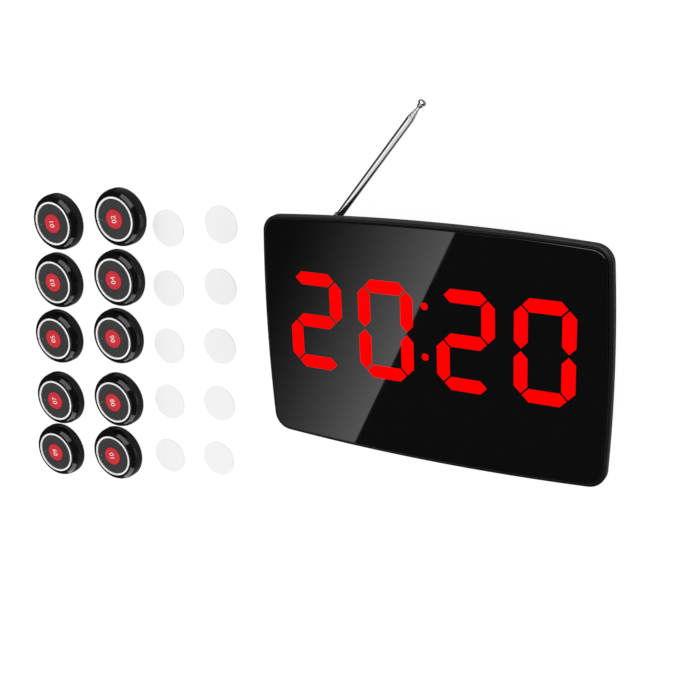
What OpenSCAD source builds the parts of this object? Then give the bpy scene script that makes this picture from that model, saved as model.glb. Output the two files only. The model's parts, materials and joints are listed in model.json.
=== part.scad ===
// Wireless nurse call set: a display receiver lying on its back, round call buttons and adhesive pads.
// Millimetres. X runs along the display, Y is the display's up, Z comes out of its face.
// The origin is the middle of the display's flat back.

/* [Digits] */
// Height of a digit between the middles of its top and bottom segments
digit_h = 58.1; // [50:0.1:64]
// Width of a digit between the middles of its left and right segments
digit_w = 30.4; // [26:0.1:34]
// Thickness of a lit segment
segment_t = 8.8; // [7:0.1:10]
// Gap from a segment's tip to the corner that it points at
segment_gap = 0.9; // [0.5:0.1:1.6]
// Clear space between neighbouring digits
digit_space = 12.4; // [9:0.1:18]
// Extra space for the colon between the two middle digits
colon_space = 4; // [1:0.1:10]
// Diameter of a colon dot
colon_d = 4.8; // [3:0.1:6]
// Distance between the colon's dots
colon_pitch = 33.8; // [24:0.1:40]
// How far the colon sits above the middle of the digits
colon_rise = 3; // [0:0.1:5]

/* [Front frame] */
// From the outer digits to the sides of the frame
side_margin = 21.6; // [18:0.1:30]
// From the digits to the top of the frame
top_margin = 39.3; // [35:0.1:50]
// From the digits to the bottom of the frame
bottom_margin = 54.3; // [45:0.1:65]
// How far the top and bottom edges bow out
bow_top = 4.4; // [2:0.1:7]
// How far the side edges bow out
bow_side = 2.9; // [1.5:0.1:5]
// Radius of the frame's corners
corner_r = 12; // [10:0.5:20]
// Depth of the frame from its lip to its rear rim
frame_depth = 6; // [5.5:0.1:9]
// Wall of the frame's rim
frame_wall = 2.4; // [1.6:0.1:2.6]
// Rounding of the frame's front edge
frame_round = 1.6; // [1.2:0.1:2]
// Width of the frame's flat lip round the panel
lip_w = 1; // [1:0.1:3]
// Width of the ledge that carries the panel
ledge_w = 3.4; // [2.8:0.1:4]
// Thickness of that ledge
ledge_t = 1.8; // [1.2:0.1:2.2]
// Depth of the whole display
display_depth = 36; // [34:0.5:44]
// Thickness of the front panel
panel_t = 2.8; // [2.2:0.1:4]
// How far the panel stands out of the frame's lip
panel_proud = 1.5; // [0.8:0.1:2]
// Chamfer round the panel's front edge
panel_edge = 0.6; // [0.3:0.1:0.8]
// Thickness of the black mask behind the panel
mask_t = 0.5; // [0.3:0.1:0.8]
// Gap round the panel in its pocket, and round the mask inside the ledge
panel_gap = 0.15; // [0.05:0.05:0.4]

/* [Inside the display] */
// Height of an LED digit module
led_depth = 10; // [8:0.1:11]
// Margin of an LED module round its segments
led_margin = 3; // [1.5:0.1:4]
// Depth of the wells that the segments shine out of
well_depth = 6; // [4:0.1:7]
// How far a segment's face reaches down into its well
segment_sink = 1; // [0.5:0.1:2]
// Gap round each segment in its window and well
segment_play = 0.1; // [0.05:0.05:0.2]
// Thickness of the main board
board_t = 1.6; // [1.2:0.1:2]
// Gap from the main board to the rear cover's walls
board_gap = 2.5; // [1.5:0.1:3]
// Room on the main board above the LED modules
board_room = 12.7; // [11:0.1:16]
// From the main board's edges to its screws
board_screw_in = 6; // [5:0.5:8]
// Diameter of the speaker
speaker_d = 50; // [44:1:56]
// Height of the speaker
speaker_h = 14; // [11:0.5:16]
// Height of the speaker's basket
basket_h = 7.7; // [7:0.1:9]
// Diameter of the speaker's magnet
magnet_d = 28; // [22:0.5:32]
// Depth of the speaker's cone
cone_deep = 4.2; // [3:0.1:5]
// From the rear cover's side wall to the speaker's middle
speaker_side = 49; // [47:0.5:56]
// From the rear cover's bottom wall to the speaker's middle
speaker_rise = 37; // [35:0.5:42]

/* [Rear cover] */
// Clear space between the LED modules and the rear cover's side walls
cover_room = 2.8; // [1.5:0.1:6]
// Wall of the rear cover
cover_wall = 2.2; // [1.6:0.1:2.8]
// Radius of the rear cover's corners
cover_corner = 10; // [8:0.5:16]
// Chamfer along the rear cover's back edge
cover_edge = 3; // [1.5:0.1:4]
// Thickness of the flange that closes the frame from behind
flange_t = 2; // [1.6:0.1:2.4]
// From the frame's outline in to the edge of the flange behind it
flange_in = 1.4; // [0.8:0.1:1.4]
// From the frame's outline to the case screws
screw_in = 6.6; // [6:0.1:7.2]
// From the rear cover's side walls in to the outer case screws
screw_side = 11; // [9:0.5:40]
// Diameter of the self-tapping screws
screw_d = 2; // [1.6:0.1:2.4]
// Distance between the two keyholes that hang the display on a wall
keyhole_pitch = 120; // [100:1:150]
// From the rear cover's top wall to the keyholes' round ends
keyhole_drop = 27; // [22:0.5:40]
// Diameter of a keyhole's round end
keyhole_d = 8.4; // [7:0.1:10]
// Width of a keyhole's slot
keyhole_slot = 4.2; // [3:0.1:5]
// Length of a keyhole's slot between centres
keyhole_rise = 8; // [6:0.5:10]
// Width of a slot in the speaker grille
grille_slot = 2.4; // [1.5:0.1:3]
// Distance between slots in the speaker grille
grille_pitch = 5.5; // [4:0.1:7]

/* [Controls and power] */
// Diameter of a function key
key_d = 6.8; // [5:0.1:8]
// Distance between function keys
key_pitch = 13; // [11.5:0.1:15]
// From the rear cover's side wall to the first function key
key_side = 23; // [20:0.5:28]
// How far a function key stands out
key_proud = 1.4; // [1:0.1:2]
// Travel of a function key
key_travel = 0.6; // [0.3:0.1:1]
// Gap between a function key and its hole
key_play = 0.25; // [0.15:0.05:0.4]
// From the rear cover's bottom wall to the power inlet
jack_rise = 30; // [22:0.5:36]
// Diameter of the power inlet's socket
jack_bore = 6.3; // [5.5:0.1:6.6]
// Wall of the power inlet's collar
jack_wall = 0.75; // [0.6:0.05:1]
// Diameter of the power inlet's centre pin
jack_pin_d = 2; // [1.6:0.1:2.6]
// From the power inlet up to the power switch
switch_rise = 22; // [18:0.5:28]
// Travel of the power switch
switch_travel = 4; // [2:0.1:5]
// Length of the power switch's slider
slider_l = 3.4; // [2.5:0.1:5]
// Height of the power switch's slider
slider_h = 2.8; // [2:0.1:3.5]

/* [Antenna] */
// From the rear cover's side wall to the antenna's pivot
antenna_side = 30.5; // [24:0.5:36]
// From the flange down to the antenna
antenna_drop = 8.5; // [8:0.1:11]
// How far the pivot stands off the rear cover's top wall
pivot_rise = 5.5; // [5:0.1:6.5]
// Angle between the antenna and the display's long edge
antenna_angle = 50.5; // [0:0.5:180]
// Diameter of the antenna's outer tube
antenna_d = 4.8; // [4:0.1:5.4]
// Wall of each antenna tube
antenna_wall = 0.35; // [0.25:0.05:0.4]
// Running gap between one antenna section and the next
antenna_play = 0.07; // [0.04:0.01:0.1]
// Length of the antenna's outer tube
tube_l = 92; // [90:1:110]
// How far each section stands out of the last one when pushed in
section_step = 2.4; // [1:0.1:4]
// Travel of each antenna section
section_travel = 72; // [50:1:74]
// Length of a section that stays inside the last one when pulled out
section_grip = 12; // [8:0.5:14]
// How far the ball under the antenna's knob stands out of the rod
tip_swell = 0.7; // [0.5:0.05:1.2]
// Diameter of the knob on the antenna's tip
tip_d = 5.3; // [5:0.1:7]
// Diameter of the pivot screw
pivot_d = 3; // [2.5:0.1:3.5]
// Thickness of the antenna's knuckle
knuckle_t = 4.4; // [3.8:0.1:5]
// Diameter of the knuckle's eye
knuckle_d = 8.4; // [7.6:0.1:9]
// Thickness of each fork ear
ear_t = 2.5; // [2:0.1:3]
// Running gap of the hinge
hinge_play = 0.05; // [0.02:0.01:0.1]
// Gap between the knuckle, the washer and the ears
fork_gap = 0.1; // [0.05:0.05:0.2]

/* [Call buttons] */
// Diameter of the part that is pressed
call_key_d = 30.2; // [28:0.1:36]
// Gap between that part and the white ring
ring_gap = 0.4; // [0.3:0.05:0.8]
// Width of the white ring
ring_w = 1.5; // [1.2:0.1:2.5]
// Width of the housing's shoulder outside the white ring
button_shoulder = 5; // [4.5:0.1:8]
// Diameter of the red disc
disc_d = 14.8; // [10:0.1:18]
// How far the red disc stands out of the key
disc_proud = 0.5; // [0.2:0.1:1]
// Travel of the call key
call_travel = 0.6; // [0.3:0.1:0.9]
// From the key's edge to the indicator light
light_edge = 2.8; // [2.5:0.1:3.6]
// Wall of the button's housing
button_wall = 1.8; // [1.2:0.1:2]
// Thickness of the button's base
base_t = 2; // [1.5:0.1:3]
// Diameter of the button cell
cell_d = 20; // [16:0.5:24]
// Thickness of the button cell
cell_t = 2.5; // [2:0.1:5]

/* [Layout on the table] */
// Clear space between the display and the nearest column of pads
display_gap = 42.2; // [30:0.1:80]
// Diameter of an adhesive pad
pad_d = 28; // [20:0.5:36]
// Thickness of an adhesive pad
pad_t = 1; // [0.6:0.1:2]
// Thickness of the liner on a pad
liner_t = 0.15; // [0.1:0.05:0.3]
// Clear space between the two columns of pads
pad_col_gap = 19.8; // [8:0.1:30]
// Clear space between rows of pads
pad_row_gap = 18.8; // [8:0.1:30]
// Clear space between the pads and the buttons
button_pad_gap = 4.7; // [3:0.1:20]
// Clear space between the two columns of buttons
button_col_gap = 18.4; // [6:0.1:30]
// Clear space between rows of buttons
button_row_gap = 4; // [2:0.1:20]
// Extra space above the last two rows of buttons
button_group_gap = 6.7; // [0:0.1:20]
// How far each row of buttons shifts towards the left
button_lean = 7.3; // [0:0.1:12]
// How far each row of pads shifts towards the left
pad_lean = 4.9; // [0:0.1:12]
// How far the right column of buttons sits above the left one
button_col_rise = 8.6; // [0:0.1:15]
// How far the right column of pads sits above the left one
pad_col_rise = 6.7; // [0:0.1:15]
// From the display's middle up to the first row of buttons
button_top = 47.5; // [20:0.5:80]
// From the display's middle up to the first row of pads
pad_top = 50.1; // [20:0.1:80]

/* [Hidden] */
$fn = 48;

// Cuts run past the faces that they open by this much
over = 1;
// Gap between pieces of one body that only lie beside each other
seat = 0.1;

// Digits
digit_pitch = digit_w + segment_t + digit_space;
digit_x = [for (k = [-1.5:1:1.5]) k * digit_pitch + sign(k) * colon_space / 2];
digits_w = digit_x[3] - digit_x[0] + digit_w + segment_t;
digits_h = digit_h + segment_t;
// Segments a to g: middle as a share of the digit, angle, and length between the corners
SEGMENTS = [
    [0, 0.5, 0, digit_w], [0.5, 0.25, 90, digit_h / 2], [0.5, -0.25, 90, digit_h / 2],
    [0, -0.5, 0, digit_w], [-0.5, -0.25, 90, digit_h / 2], [-0.5, 0.25, 90, digit_h / 2], [0, 0, 0, digit_w]
];
SHOW_2 = [1, 1, 0, 1, 1, 0, 1];
SHOW_0 = [1, 1, 1, 1, 1, 1, 0];
SHOWN = [SHOW_2, SHOW_0, SHOW_2, SHOW_0];

// Outline of the frame: four bowed edges and the corner arcs that touch them
display_w = digits_w + 2 * side_margin;
display_h = digits_h + top_margin + bottom_margin;
digits_y = (bottom_margin - top_margin) / 2;
edge_r = bow_radius(display_w / 2, bow_top);
flank_r = bow_radius(display_h / 2, bow_side);
edge_c = display_h / 2 - edge_r;
flank_c = display_w / 2 - flank_r;
corner = touching_centre(-edge_c, edge_r - corner_r, -flank_c, flank_r - corner_r);
edge_a = atan2(corner[1] - edge_c, corner[0]);
flank_a = atan2(corner[1], corner[0] - flank_c);
edge_steps = 10;
flank_steps = 7;
corner_steps = 8;

// Heights in the display
lip_z = display_depth - panel_proud;
rim_z = lip_z - frame_depth;
flange_z = rim_z - flange_t;
panel_z = display_depth - panel_t;
mask_z = panel_z - mask_t;
led_z = mask_z - led_depth;
board_z = led_z - board_t;
pocket_in = frame_round + lip_w;
ledge_in = pocket_in + ledge_w;
rim_edge = 0.6;

// Screws, and the bosses and standoffs that they cut into
pilot_r = screw_d / 2 + 0.05;
boss_wall = 1.8;
boss_r = screw_d / 2 + boss_wall;
boss_gap = 0.3;
boss_top = mask_z - boss_gap;
boss_roof = 0.5;
standoff_wall = 2.5;
standoff_r = screw_d / 2 + standoff_wall;
standoff_pilot = 8;
screw_hole_gap = 0.3;
screw_head_r = screw_d / 2 + 1.5;
screw_head_h = 1.7;
screw_head_edge = 0.6;
screw_point = 0.8;
case_screw_l = boss_top - screw_point - flange_z;
board_screw_l = board_t + 6;

// Rear cover
cover_w = digits_w + 2 * (led_margin + cover_room + cover_wall);
cover_h = 2 * (digits_y + digits_h / 2 + led_margin + board_room + board_gap + cover_wall);
inner_w = cover_w - 2 * cover_wall;
inner_h = cover_h - 2 * cover_wall;
screw_x = cover_w / 2 - screw_side;
keyhole_y = cover_h / 2 - keyhole_drop;

// Main board, and what stands under it: x, y, width, length and height of each chip, then two capacitors
board_w = inner_w - 2 * board_gap;
board_h = inner_h - 2 * board_gap;
board_corner = 3;
board_screw = [board_w / 2 - board_screw_in, board_h / 2 - board_screw_in];
CHIPS = [[8, -6, 14, 14, 1.6], [34, 4, 10, 7, 1.8], [-14, 22, 18, 8, 1.8], [46, -22, 8, 8, 1.5]];
CAPACITORS = [[64, -38], [64, -26]];
capacitor_r = 4;
capacitor_h = 9;
colon_margin = 1;
receiver_size = [34, 14, 1];
shield_edge = [4, 1];
shield_h = 2.6;
receiver_gap = 6;

// Speaker
speaker_at = [speaker_side - cover_w / 2, speaker_rise - cover_h / 2];
speaker_rim = 4;
speaker_rim_t = 1.2;
speaker_rib = 1.5;
speaker_rib_h = 4;
basket_wall = 1;
basket_eye_r = 3;
cone_neck = 6;
cone_roll = 2;
cone_sheet = 0.5;
grille_r = speaker_d / 2 - speaker_rim - 1;
grille_rows = floor((grille_r - grille_slot) / grille_pitch);

// Controls
key_z = board_z - 3.5;
key_flange_r = key_d / 2 + 1.2;
key_flange_t = 1;
key_edge = 0.4;
tact_w = 6;
tact_d = 4;
tact_y = inner_h / 2 - 10;
plunger_l = 0.8;
plunger_r = 1.7;
jack_y = jack_rise - cover_h / 2;
jack_d = jack_bore + 2 * jack_wall;
jack_side = 0.6;
jack_under = 0.8;
jack_w = jack_d + 2 * jack_side;
jack_h = jack_d + 3.2;
jack_l = 14;
jack_back = 2;
jack_pin_in = 1;
jack_z = board_z - jack_h + jack_under + jack_d / 2;
switch_y = jack_y + switch_rise;
switch_end = 2.5;
switch_depth = 6;
switch_h = 8;
switch_z = board_z - switch_h / 2;
switch_well = 2.2;
slider_play = 0.3;
slider_proud = 1.6;
slot_l = slider_l + switch_travel + 2 * slider_play;
slot_h = slider_h + 2 * slider_play;

// Antenna: distances run from the pivot
pivot = [antenna_side - cover_w / 2, cover_h / 2 + pivot_rise, flange_z - antenna_drop];
washer_t = 0.4;
washer_in = 0.6;
ear_r = knuckle_d / 2 + 0.3;
ear_low = -knuckle_t / 2 - fork_gap;
ear_high = knuckle_t / 2 + washer_t + 2 * fork_gap;
pivot_head_r = pivot_d / 2 + 1.5;
pivot_head_h = 1.8;
nut_r = pivot_d / 2 + 1.35;
nut_h = 2.4;
screw_end = 0.6;
neck_r = antenna_d / 2 + 0.8;
neck_start = ear_r + 0.7;
neck_l = 6.8;
web_edge = 0.2;
socket_start = neck_start + 0.8;
socket_gap = 0.02;
section_r = [for (k = [0:3]) antenna_d / 2 - k * (antenna_wall + antenna_play)];
section_top = [for (k = [0:3]) socket_start + tube_l + k * section_step];
section_low = [for (k = [0:3]) k == 0 ? socket_start : section_top[k - 1] - section_travel - section_grip];
crimp_l = 1.4;
tip_ball_r = section_r[3] + tip_swell;
tip_ball_a = acos(section_r[3] / tip_ball_r);
tip_ball_h = tip_ball_r * sin(tip_ball_a);
tip_edge = 0.3;
tip_rim = 0.6;
tip_dome = 1.5;

// Call button heights
cell_z = base_t;
cell_step = [1, 0.4, 0.2];
contact_t = 0.4;
contact_w = 5;
contact_end = 2;
button_board_z = cell_z + cell_t + contact_t;
button_board_t = 1.2;
button_board_top = button_board_z + button_board_t;
tact_h = 2;
tact_top = button_board_top + tact_h + plunger_l;
post_z = tact_top + call_travel + seat;
post_l = 0.7;
call_plate_z = post_z + post_l;
call_plate_t = 1.6;
call_top = call_plate_z + call_plate_t;
ring_proud = 0.3;
ring_top = call_top + ring_proud;
ring_low = call_top - 2;
ring_edge = 0.3;
ledge_low = ring_low - 1.4;
call_flange_gap = 0.2;
call_flange_top = ledge_low - call_flange_gap;
call_flange_t = 1;
skirt_z = 0.8;
dome_z = base_t + 3;
disc_sink = 1;
disc_edge = 0.3;
pipe_sink = 0.2;

// Call button radii
call_r = call_key_d / 2;
ring_in_r = call_r + ring_gap;
ring_r = ring_in_r + ring_w;
button_r = ring_r + button_shoulder;
button_d = 2 * button_r;
ring_seat_r = ring_r + 0.05;
rim_r = ring_seat_r + 0.5;
call_edge = 0.3;
call_flange_r = call_r + 1.4;
call_skirt_r = call_r - 1.5;
call_opening_r = call_r + 0.25;
post_r = plunger_r + 0.6;
disc_r = disc_d / 2;
disc_gap = 0.05;
light_in = call_r - light_edge;
pipe_r = 0.6;
pipe_hole_r = pipe_r + 0.2;
inner_r = button_r - button_wall;
base_r = inner_r - 2 * seat;
base_edge = 0.4;
shoulder = 1;
skirt_edge = [0.6, 0.8];
button_board_r = call_flange_r + 0.9;
board_ring = 1.5;

// Layout: a column, then a row, counted from the top left button or pad
pad_pitch = [pad_d + pad_col_gap, pad_d + pad_row_gap];
button_pitch = [button_d + button_col_gap, button_d + button_row_gap];
pad_x0 = -display_w / 2 - display_gap - pad_d / 2 - pad_pitch[0];
button_x0 = pad_x0 - pad_d / 2 - button_pad_gap - button_r - button_pitch[0];
button_turn = atan2(button_col_rise, button_pitch[0]);
rows = 5;
cols = 2;

function bow_radius(half, rise) = (half * half + rise * rise) / (2 * rise);

// Centre of a circle that keeps distance a from (0, -p) and distance b from (-q, 0)
function touching_centre(p, a, q, b) =
    let (m = q / p)
    let (k = (a * a - b * b - p * p + q * q) / (2 * p))
    let (h = q + m * k)
    let (x = (sqrt(h * h - (1 + m * m) * (q * q + k * k - b * b)) - h) / (1 + m * m))
    [x, m * x + k];

// Points along an arc, without its last one
function arc(c, r, from, to, steps) =
    [for (i = [0:steps - 1]) let (a = from + (to - from) * i / steps) c + r * [cos(a), sin(a)]];

// The frame's outline, moved in by d
function outline(d) = concat(
    arc([flank_c, 0], flank_r - d, -flank_a, flank_a, flank_steps),
    arc(corner, corner_r - d, flank_a, edge_a, corner_steps),
    arc([0, edge_c], edge_r - d, edge_a, 180 - edge_a, edge_steps),
    arc([-corner[0], corner[1]], corner_r - d, 180 - edge_a, 180 - flank_a, corner_steps),
    arc([-flank_c, 0], flank_r - d, 180 - flank_a, 180 + flank_a, flank_steps),
    arc(-corner, corner_r - d, 180 + flank_a, 180 + edge_a, corner_steps),
    arc([0, -edge_c], edge_r - d, 180 + edge_a, 360 - edge_a, edge_steps),
    arc([corner[0], -corner[1]], corner_r - d, 360 - edge_a, 360 - flank_a, corner_steps)
);

// A rectangle with round corners
function rounded(w, h, r) = [
    for (k = [0:3]) let (s = [k == 0 || k == 3 ? 1 : -1, k < 2 ? 1 : -1])
        each arc([s[0] * (w / 2 - r), s[1] * (h / 2 - r)], r, 90 * k, 90 * k + 90 + 90 / corner_steps,
                 corner_steps + 1)
];

// A pointed segment, grown by g all round
function segment_shape(l, g) =
    let (t = segment_t / 2 + g)
    let (e = l / 2 - segment_gap + g * sqrt(2))
    [[-e, 0], [t - e, -t], [e - t, -t], [e, 0], [e - t, t], [t - e, t]];

// Where the frame takes a case screw, for a place along its top or bottom edge
function screw_y(x) = edge_c + sqrt(pow(edge_r - screw_in, 2) - x * x);

function button_place(i) =
    let (c = i % cols)
    let (r = floor(i / cols))
    [
        button_x0 + c * button_pitch[0] - r * button_lean,
        button_top + c * button_col_rise - r * button_pitch[1] - (r > 2 ? button_group_gap : 0)
    ];

function pad_place(i) =
    let (c = i % cols)
    let (r = floor(i / cols))
    [pad_x0 + c * pad_pitch[0] - r * pad_lean, pad_top + c * pad_col_rise - r * pad_pitch[1]];

function numbered(name, i) = str(name, i < 9 ? "0" : "", i + 1);

// A closed ring swept round the frame's outline: each profile point is [distance in, height]
module outline_ring(profile) {
    n = len(profile);
    m = len(outline(0));
    points = [for (p = profile) for (q = outline(p[0])) [q[0], q[1], p[1]]];
    faces = [
        for (i = [0:n - 1]) for (j = [0:m - 1])
            let (u = (i + 1) % n)
            let (v = (j + 1) % m)
            [i * m + j, u * m + j, u * m + v, i * m + v]
    ];
    polyhedron(points, faces);
}

// A block with round corners and a chamfer round its lower face
module chamfered_block(w, h, r, low, high, edge) {
    dx = w / 2 - r;
    dy = h / 2 - r;
    for (x = [-dx, dx]) for (y = [-dy, dy])
        translate([x, y, 0])
            rotate_extrude()
                polygon([[0, low], [r - edge, low], [r, low + edge], [r, high], [0, high]]);
    rotate([90, 0, 90])
        linear_extrude(2 * dx, center = true)
            polygon(chamfered_profile(h / 2, low, high, edge));
    rotate([90, 0, 0])
        linear_extrude(2 * dy, center = true)
            polygon(chamfered_profile(w / 2, low, high, edge));
}

function chamfered_profile(half, low, high, edge) = [
    [edge - half, low], [half - edge, low], [half, low + edge], [half, high], [-half, high],
    [-half, low + edge]
];

// A flat plate from low to high
module plate(points, low, high) {
    translate([0, 0, low])
        linear_extrude(high - low)
            polygon(points);
}

// A round bar from low to high
module bar(r, low, high) {
    translate([0, 0, low])
        cylinder(r = r, h = high - low);
}

// A slot from low to high along X, of the given length between its end centres
module slot(l, w, low, high) {
    for (x = [-l / 2, l / 2])
        translate([x, 0, 0])
            bar(w / 2, low, high);
    translate([-l / 2, -w / 2, low])
        cube([l, w, high - low]);
}

module at_case_screws() {
    for (x = [-screw_x, 0, screw_x]) for (s = [-1, 1])
        translate([x, s * screw_y(x), 0])
            children();
}

module at_board_screws() {
    for (x = [-1, 1]) for (y = [-1, 1])
        translate([x * board_screw[0], y * board_screw[1], 0])
            children();
}

module at_segments(lit, grow) {
    for (d = [0:3]) for (k = [0:6])
        if (lit == 2 || SHOWN[d][k] == lit)
            translate([digit_x[d] + SEGMENTS[k][0] * digit_w, digits_y + SEGMENTS[k][1] * digit_h])
                rotate(SEGMENTS[k][2])
                    polygon(segment_shape(SEGMENTS[k][3], grow));
}

module at_colon_dots() {
    for (s = [-1, 1])
        translate([0, digits_y + colon_rise + s * colon_pitch / 2, 0])
            children();
}

module at_function_keys() {
    for (i = [0:3])
        at_function_key(i)
            children();
}

// Local Z runs out of the rear cover's top wall, from its inner face
module at_function_key(i) {
    translate([cover_w / 2 - key_side - i * key_pitch, inner_h / 2, key_z])
        rotate([-90, 0, 0])
            children();
}

// Local Z runs out of the rear cover's right wall, from its inner face
module at_right_wall(y, z) {
    translate([inner_w / 2, y, z])
        rotate([0, 90, 0])
            children();
}

// Local Z runs along the antenna from its pivot
module along_antenna() {
    translate(pivot)
        rotate([0, 90, antenna_angle])
            children();
}

module at_buttons() {
    for (i = [0:rows * cols - 1])
        at_button(i)
            children();
}

// Local X points from the indicator light to the key's middle
module at_button(i) {
    translate(button_place(i))
        rotate(button_turn)
            children();
}

module at_pads() {
    for (i = [0:rows * cols - 1])
        translate(pad_place(i))
            children();
}

// Bezel: rim, rounded front edge, lip and the ledge for the panel, with bosses for the case screws
module front_frame() {
    front_arc = [
        for (a = [0:22.5:90])
            [frame_round * (1 - cos(a)), lip_z - frame_round * (1 - sin(a))]
    ];
    profile = concat(
        [[rim_edge, rim_z], [0, rim_z + rim_edge]],
        front_arc,
        [
            [pocket_in, lip_z], [pocket_in, panel_z], [ledge_in, panel_z], [ledge_in, panel_z - ledge_t],
            [frame_wall, panel_z - ledge_t], [frame_wall, rim_z]
        ]
    );
    color([0.16, 0.16, 0.17])
        difference() {
            union() {
                outline_ring(profile);
                at_case_screws()
                    bar(boss_r, rim_z, boss_top);
            }
            at_case_screws()
                bar(pilot_r, rim_z - over, boss_top - boss_roof);
        }
}

// Window that fills the frame's pocket and stands out of it with a chamfered edge
module front_panel() {
    inset = pocket_in + panel_gap;
    edge_z = display_depth - panel_edge;
    taper = [1 - panel_edge / (display_w / 2 - inset), 1 - panel_edge / (display_h / 2 - inset)];
    color([0.03, 0.03, 0.035, 0.6]) {
        plate(outline(inset), panel_z, edge_z);
        translate([0, 0, edge_z])
            linear_extrude(panel_edge, scale = taper, slices = 1)
                polygon(outline(inset));
    }
}

// Black sheet behind the panel, with a window for each segment and dot
module segment_mask() {
    color([0.02, 0.02, 0.02])
        difference() {
            plate(outline(ledge_in + panel_gap), mask_z, panel_z);
            translate([0, 0, mask_z - over])
                linear_extrude(mask_t + 2 * over)
                    at_segments(2, segment_play);
            at_colon_dots()
                bar(colon_d / 2 + segment_play, mask_z - over, panel_z + over);
        }
}

module segments(lit) {
    translate([0, 0, mask_z - segment_sink])
        linear_extrude(mask_t + segment_sink)
            at_segments(lit, 0);
}

module lit_segments() {
    color([1, 0, 0]) {
        segments(1);
        at_colon_dots()
            bar(colon_d / 2, mask_z - segment_sink, panel_z);
    }
}

module dark_segments() {
    color([0.06, 0.02, 0.02])
        segments(0);
}

// Four digit modules and the colon's module, with a well under each segment
module led_modules() {
    w = digit_w + segment_t + 2 * led_margin;
    h = digits_h + 2 * led_margin;
    colon_w = colon_d + 2 * colon_margin;
    colon_h = colon_pitch + 2 * colon_d;
    color([0.1, 0.1, 0.1])
        difference() {
            union() {
                for (x = digit_x)
                    translate([x - w / 2, digits_y - h / 2, led_z])
                        cube([w, h, led_depth]);
                translate([-colon_w / 2, digits_y + colon_rise - colon_h / 2, led_z])
                    cube([colon_w, colon_h, led_depth]);
            }
            translate([0, 0, mask_z - well_depth])
                linear_extrude(well_depth + over)
                    at_segments(2, segment_play);
            at_colon_dots()
                bar(colon_d / 2 + segment_play, mask_z - well_depth, mask_z + over);
        }
}

module main_board() {
    color([0.05, 0.3, 0.14])
        difference() {
            plate(rounded(board_w, board_h, board_corner), board_z, led_z);
            at_board_screws()
                bar(screw_d / 2 + screw_hole_gap, board_z - over, led_z + over);
        }
}

// Controller, voice chip, driver and amplifier, then two capacitors, all under the board
module board_chips() {
    color([0.12, 0.12, 0.12]) {
        for (c = CHIPS)
            translate([c[0] - c[2] / 2, c[1] - c[3] / 2, board_z - c[4]])
                cube([c[2], c[3], c[4]]);
        for (c = CAPACITORS)
            translate([c[0], c[1], 0])
                bar(capacitor_r, board_z - capacitor_h, board_z);
    }
}

// Radio receiver: a small board with a shield can, under the main board by the antenna
module receiver_module() {
    w = receiver_size[0];
    h = receiver_size[1];
    t = receiver_size[2];
    top = board_h / 2 - board_screw_in - receiver_gap;
    color([0.7, 0.7, 0.72])
        translate([pivot[0] + receiver_gap, top - h, board_z]) {
            translate([0, 0, -t])
                cube([w, h, t]);
            translate([shield_edge[0], shield_edge[1], -t - shield_h])
                cube([w - 2 * shield_edge[0], h - 2 * shield_edge[1], shield_h]);
        }
}

// Side-pushed switches behind the function keys
module key_switches() {
    color([0.12, 0.12, 0.12])
        for (i = [0:3])
            translate([cover_w / 2 - key_side - i * key_pitch, tact_y, 0]) {
                translate([-tact_w / 2, 0, board_z - tact_w])
                    cube([tact_w, tact_d, tact_w]);
                translate([0, tact_d, key_z])
                    rotate([-90, 0, 0])
                        cylinder(r = plunger_r, h = plunger_l);
            }
}

// Speaker basket and its magnet, facing the grille in the cover's floor
module speaker_frame() {
    r = speaker_d / 2;
    magnet_r = magnet_d / 2;
    inside = r - speaker_rim;
    color([0.45, 0.46, 0.48])
        translate([speaker_at[0], speaker_at[1], cover_wall]) {
            rotate_extrude()
                polygon([
                    [inside, 0], [r, 0], [r, speaker_rim_t], [inside + basket_wall, speaker_rim_t],
                    [magnet_r, basket_h], [basket_eye_r, basket_h], [basket_eye_r, basket_h - basket_wall],
                    [magnet_r - basket_wall, basket_h - basket_wall], [inside, speaker_rim_t]
                ]);
            bar(magnet_r, basket_h, speaker_h);
        }
}

module speaker_cone() {
    r = speaker_d / 2 - speaker_rim - seat;
    color([0.08, 0.08, 0.08])
        translate([speaker_at[0], speaker_at[1], cover_wall + seat])
            rotate_extrude()
                polygon([
                    [0, cone_deep], [cone_neck, cone_deep], [r - cone_roll, 0], [r, 0], [r, cone_sheet],
                    [r - cone_roll, cone_sheet], [cone_neck, cone_deep + cone_sheet],
                    [0, cone_deep + cone_sheet]
                ]);
}

// Power inlet under the board: body, collar in the wall, socket and centre pin
module dc_jack() {
    back = jack_back - jack_l;
    color([0.07, 0.07, 0.07]) {
        difference() {
            union() {
                translate([inner_w / 2 - seat - jack_l, jack_y - jack_w / 2, board_z - jack_h])
                    cube([jack_l, jack_w, jack_h]);
                at_right_wall(jack_y, jack_z)
                    bar(jack_d / 2, -seat - over, cover_wall);
            }
            at_right_wall(jack_y, jack_z)
                bar(jack_bore / 2, back, cover_wall + over);
        }
        at_right_wall(jack_y, jack_z)
            bar(jack_pin_d / 2, back - over, cover_wall - jack_pin_in);
    }
}

module power_switch_body() {
    l = slot_l + 2 * switch_end;
    color([0.6, 0.6, 0.62])
        difference() {
            translate([inner_w / 2 - seat - switch_depth, switch_y - l / 2, board_z - switch_h])
                cube([switch_depth, l, switch_h]);
            translate([inner_w / 2 - seat - switch_well, switch_y - slot_l / 2, switch_z - slot_h / 2])
                cube([switch_well + over, slot_l, slot_h]);
        }
}

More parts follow.
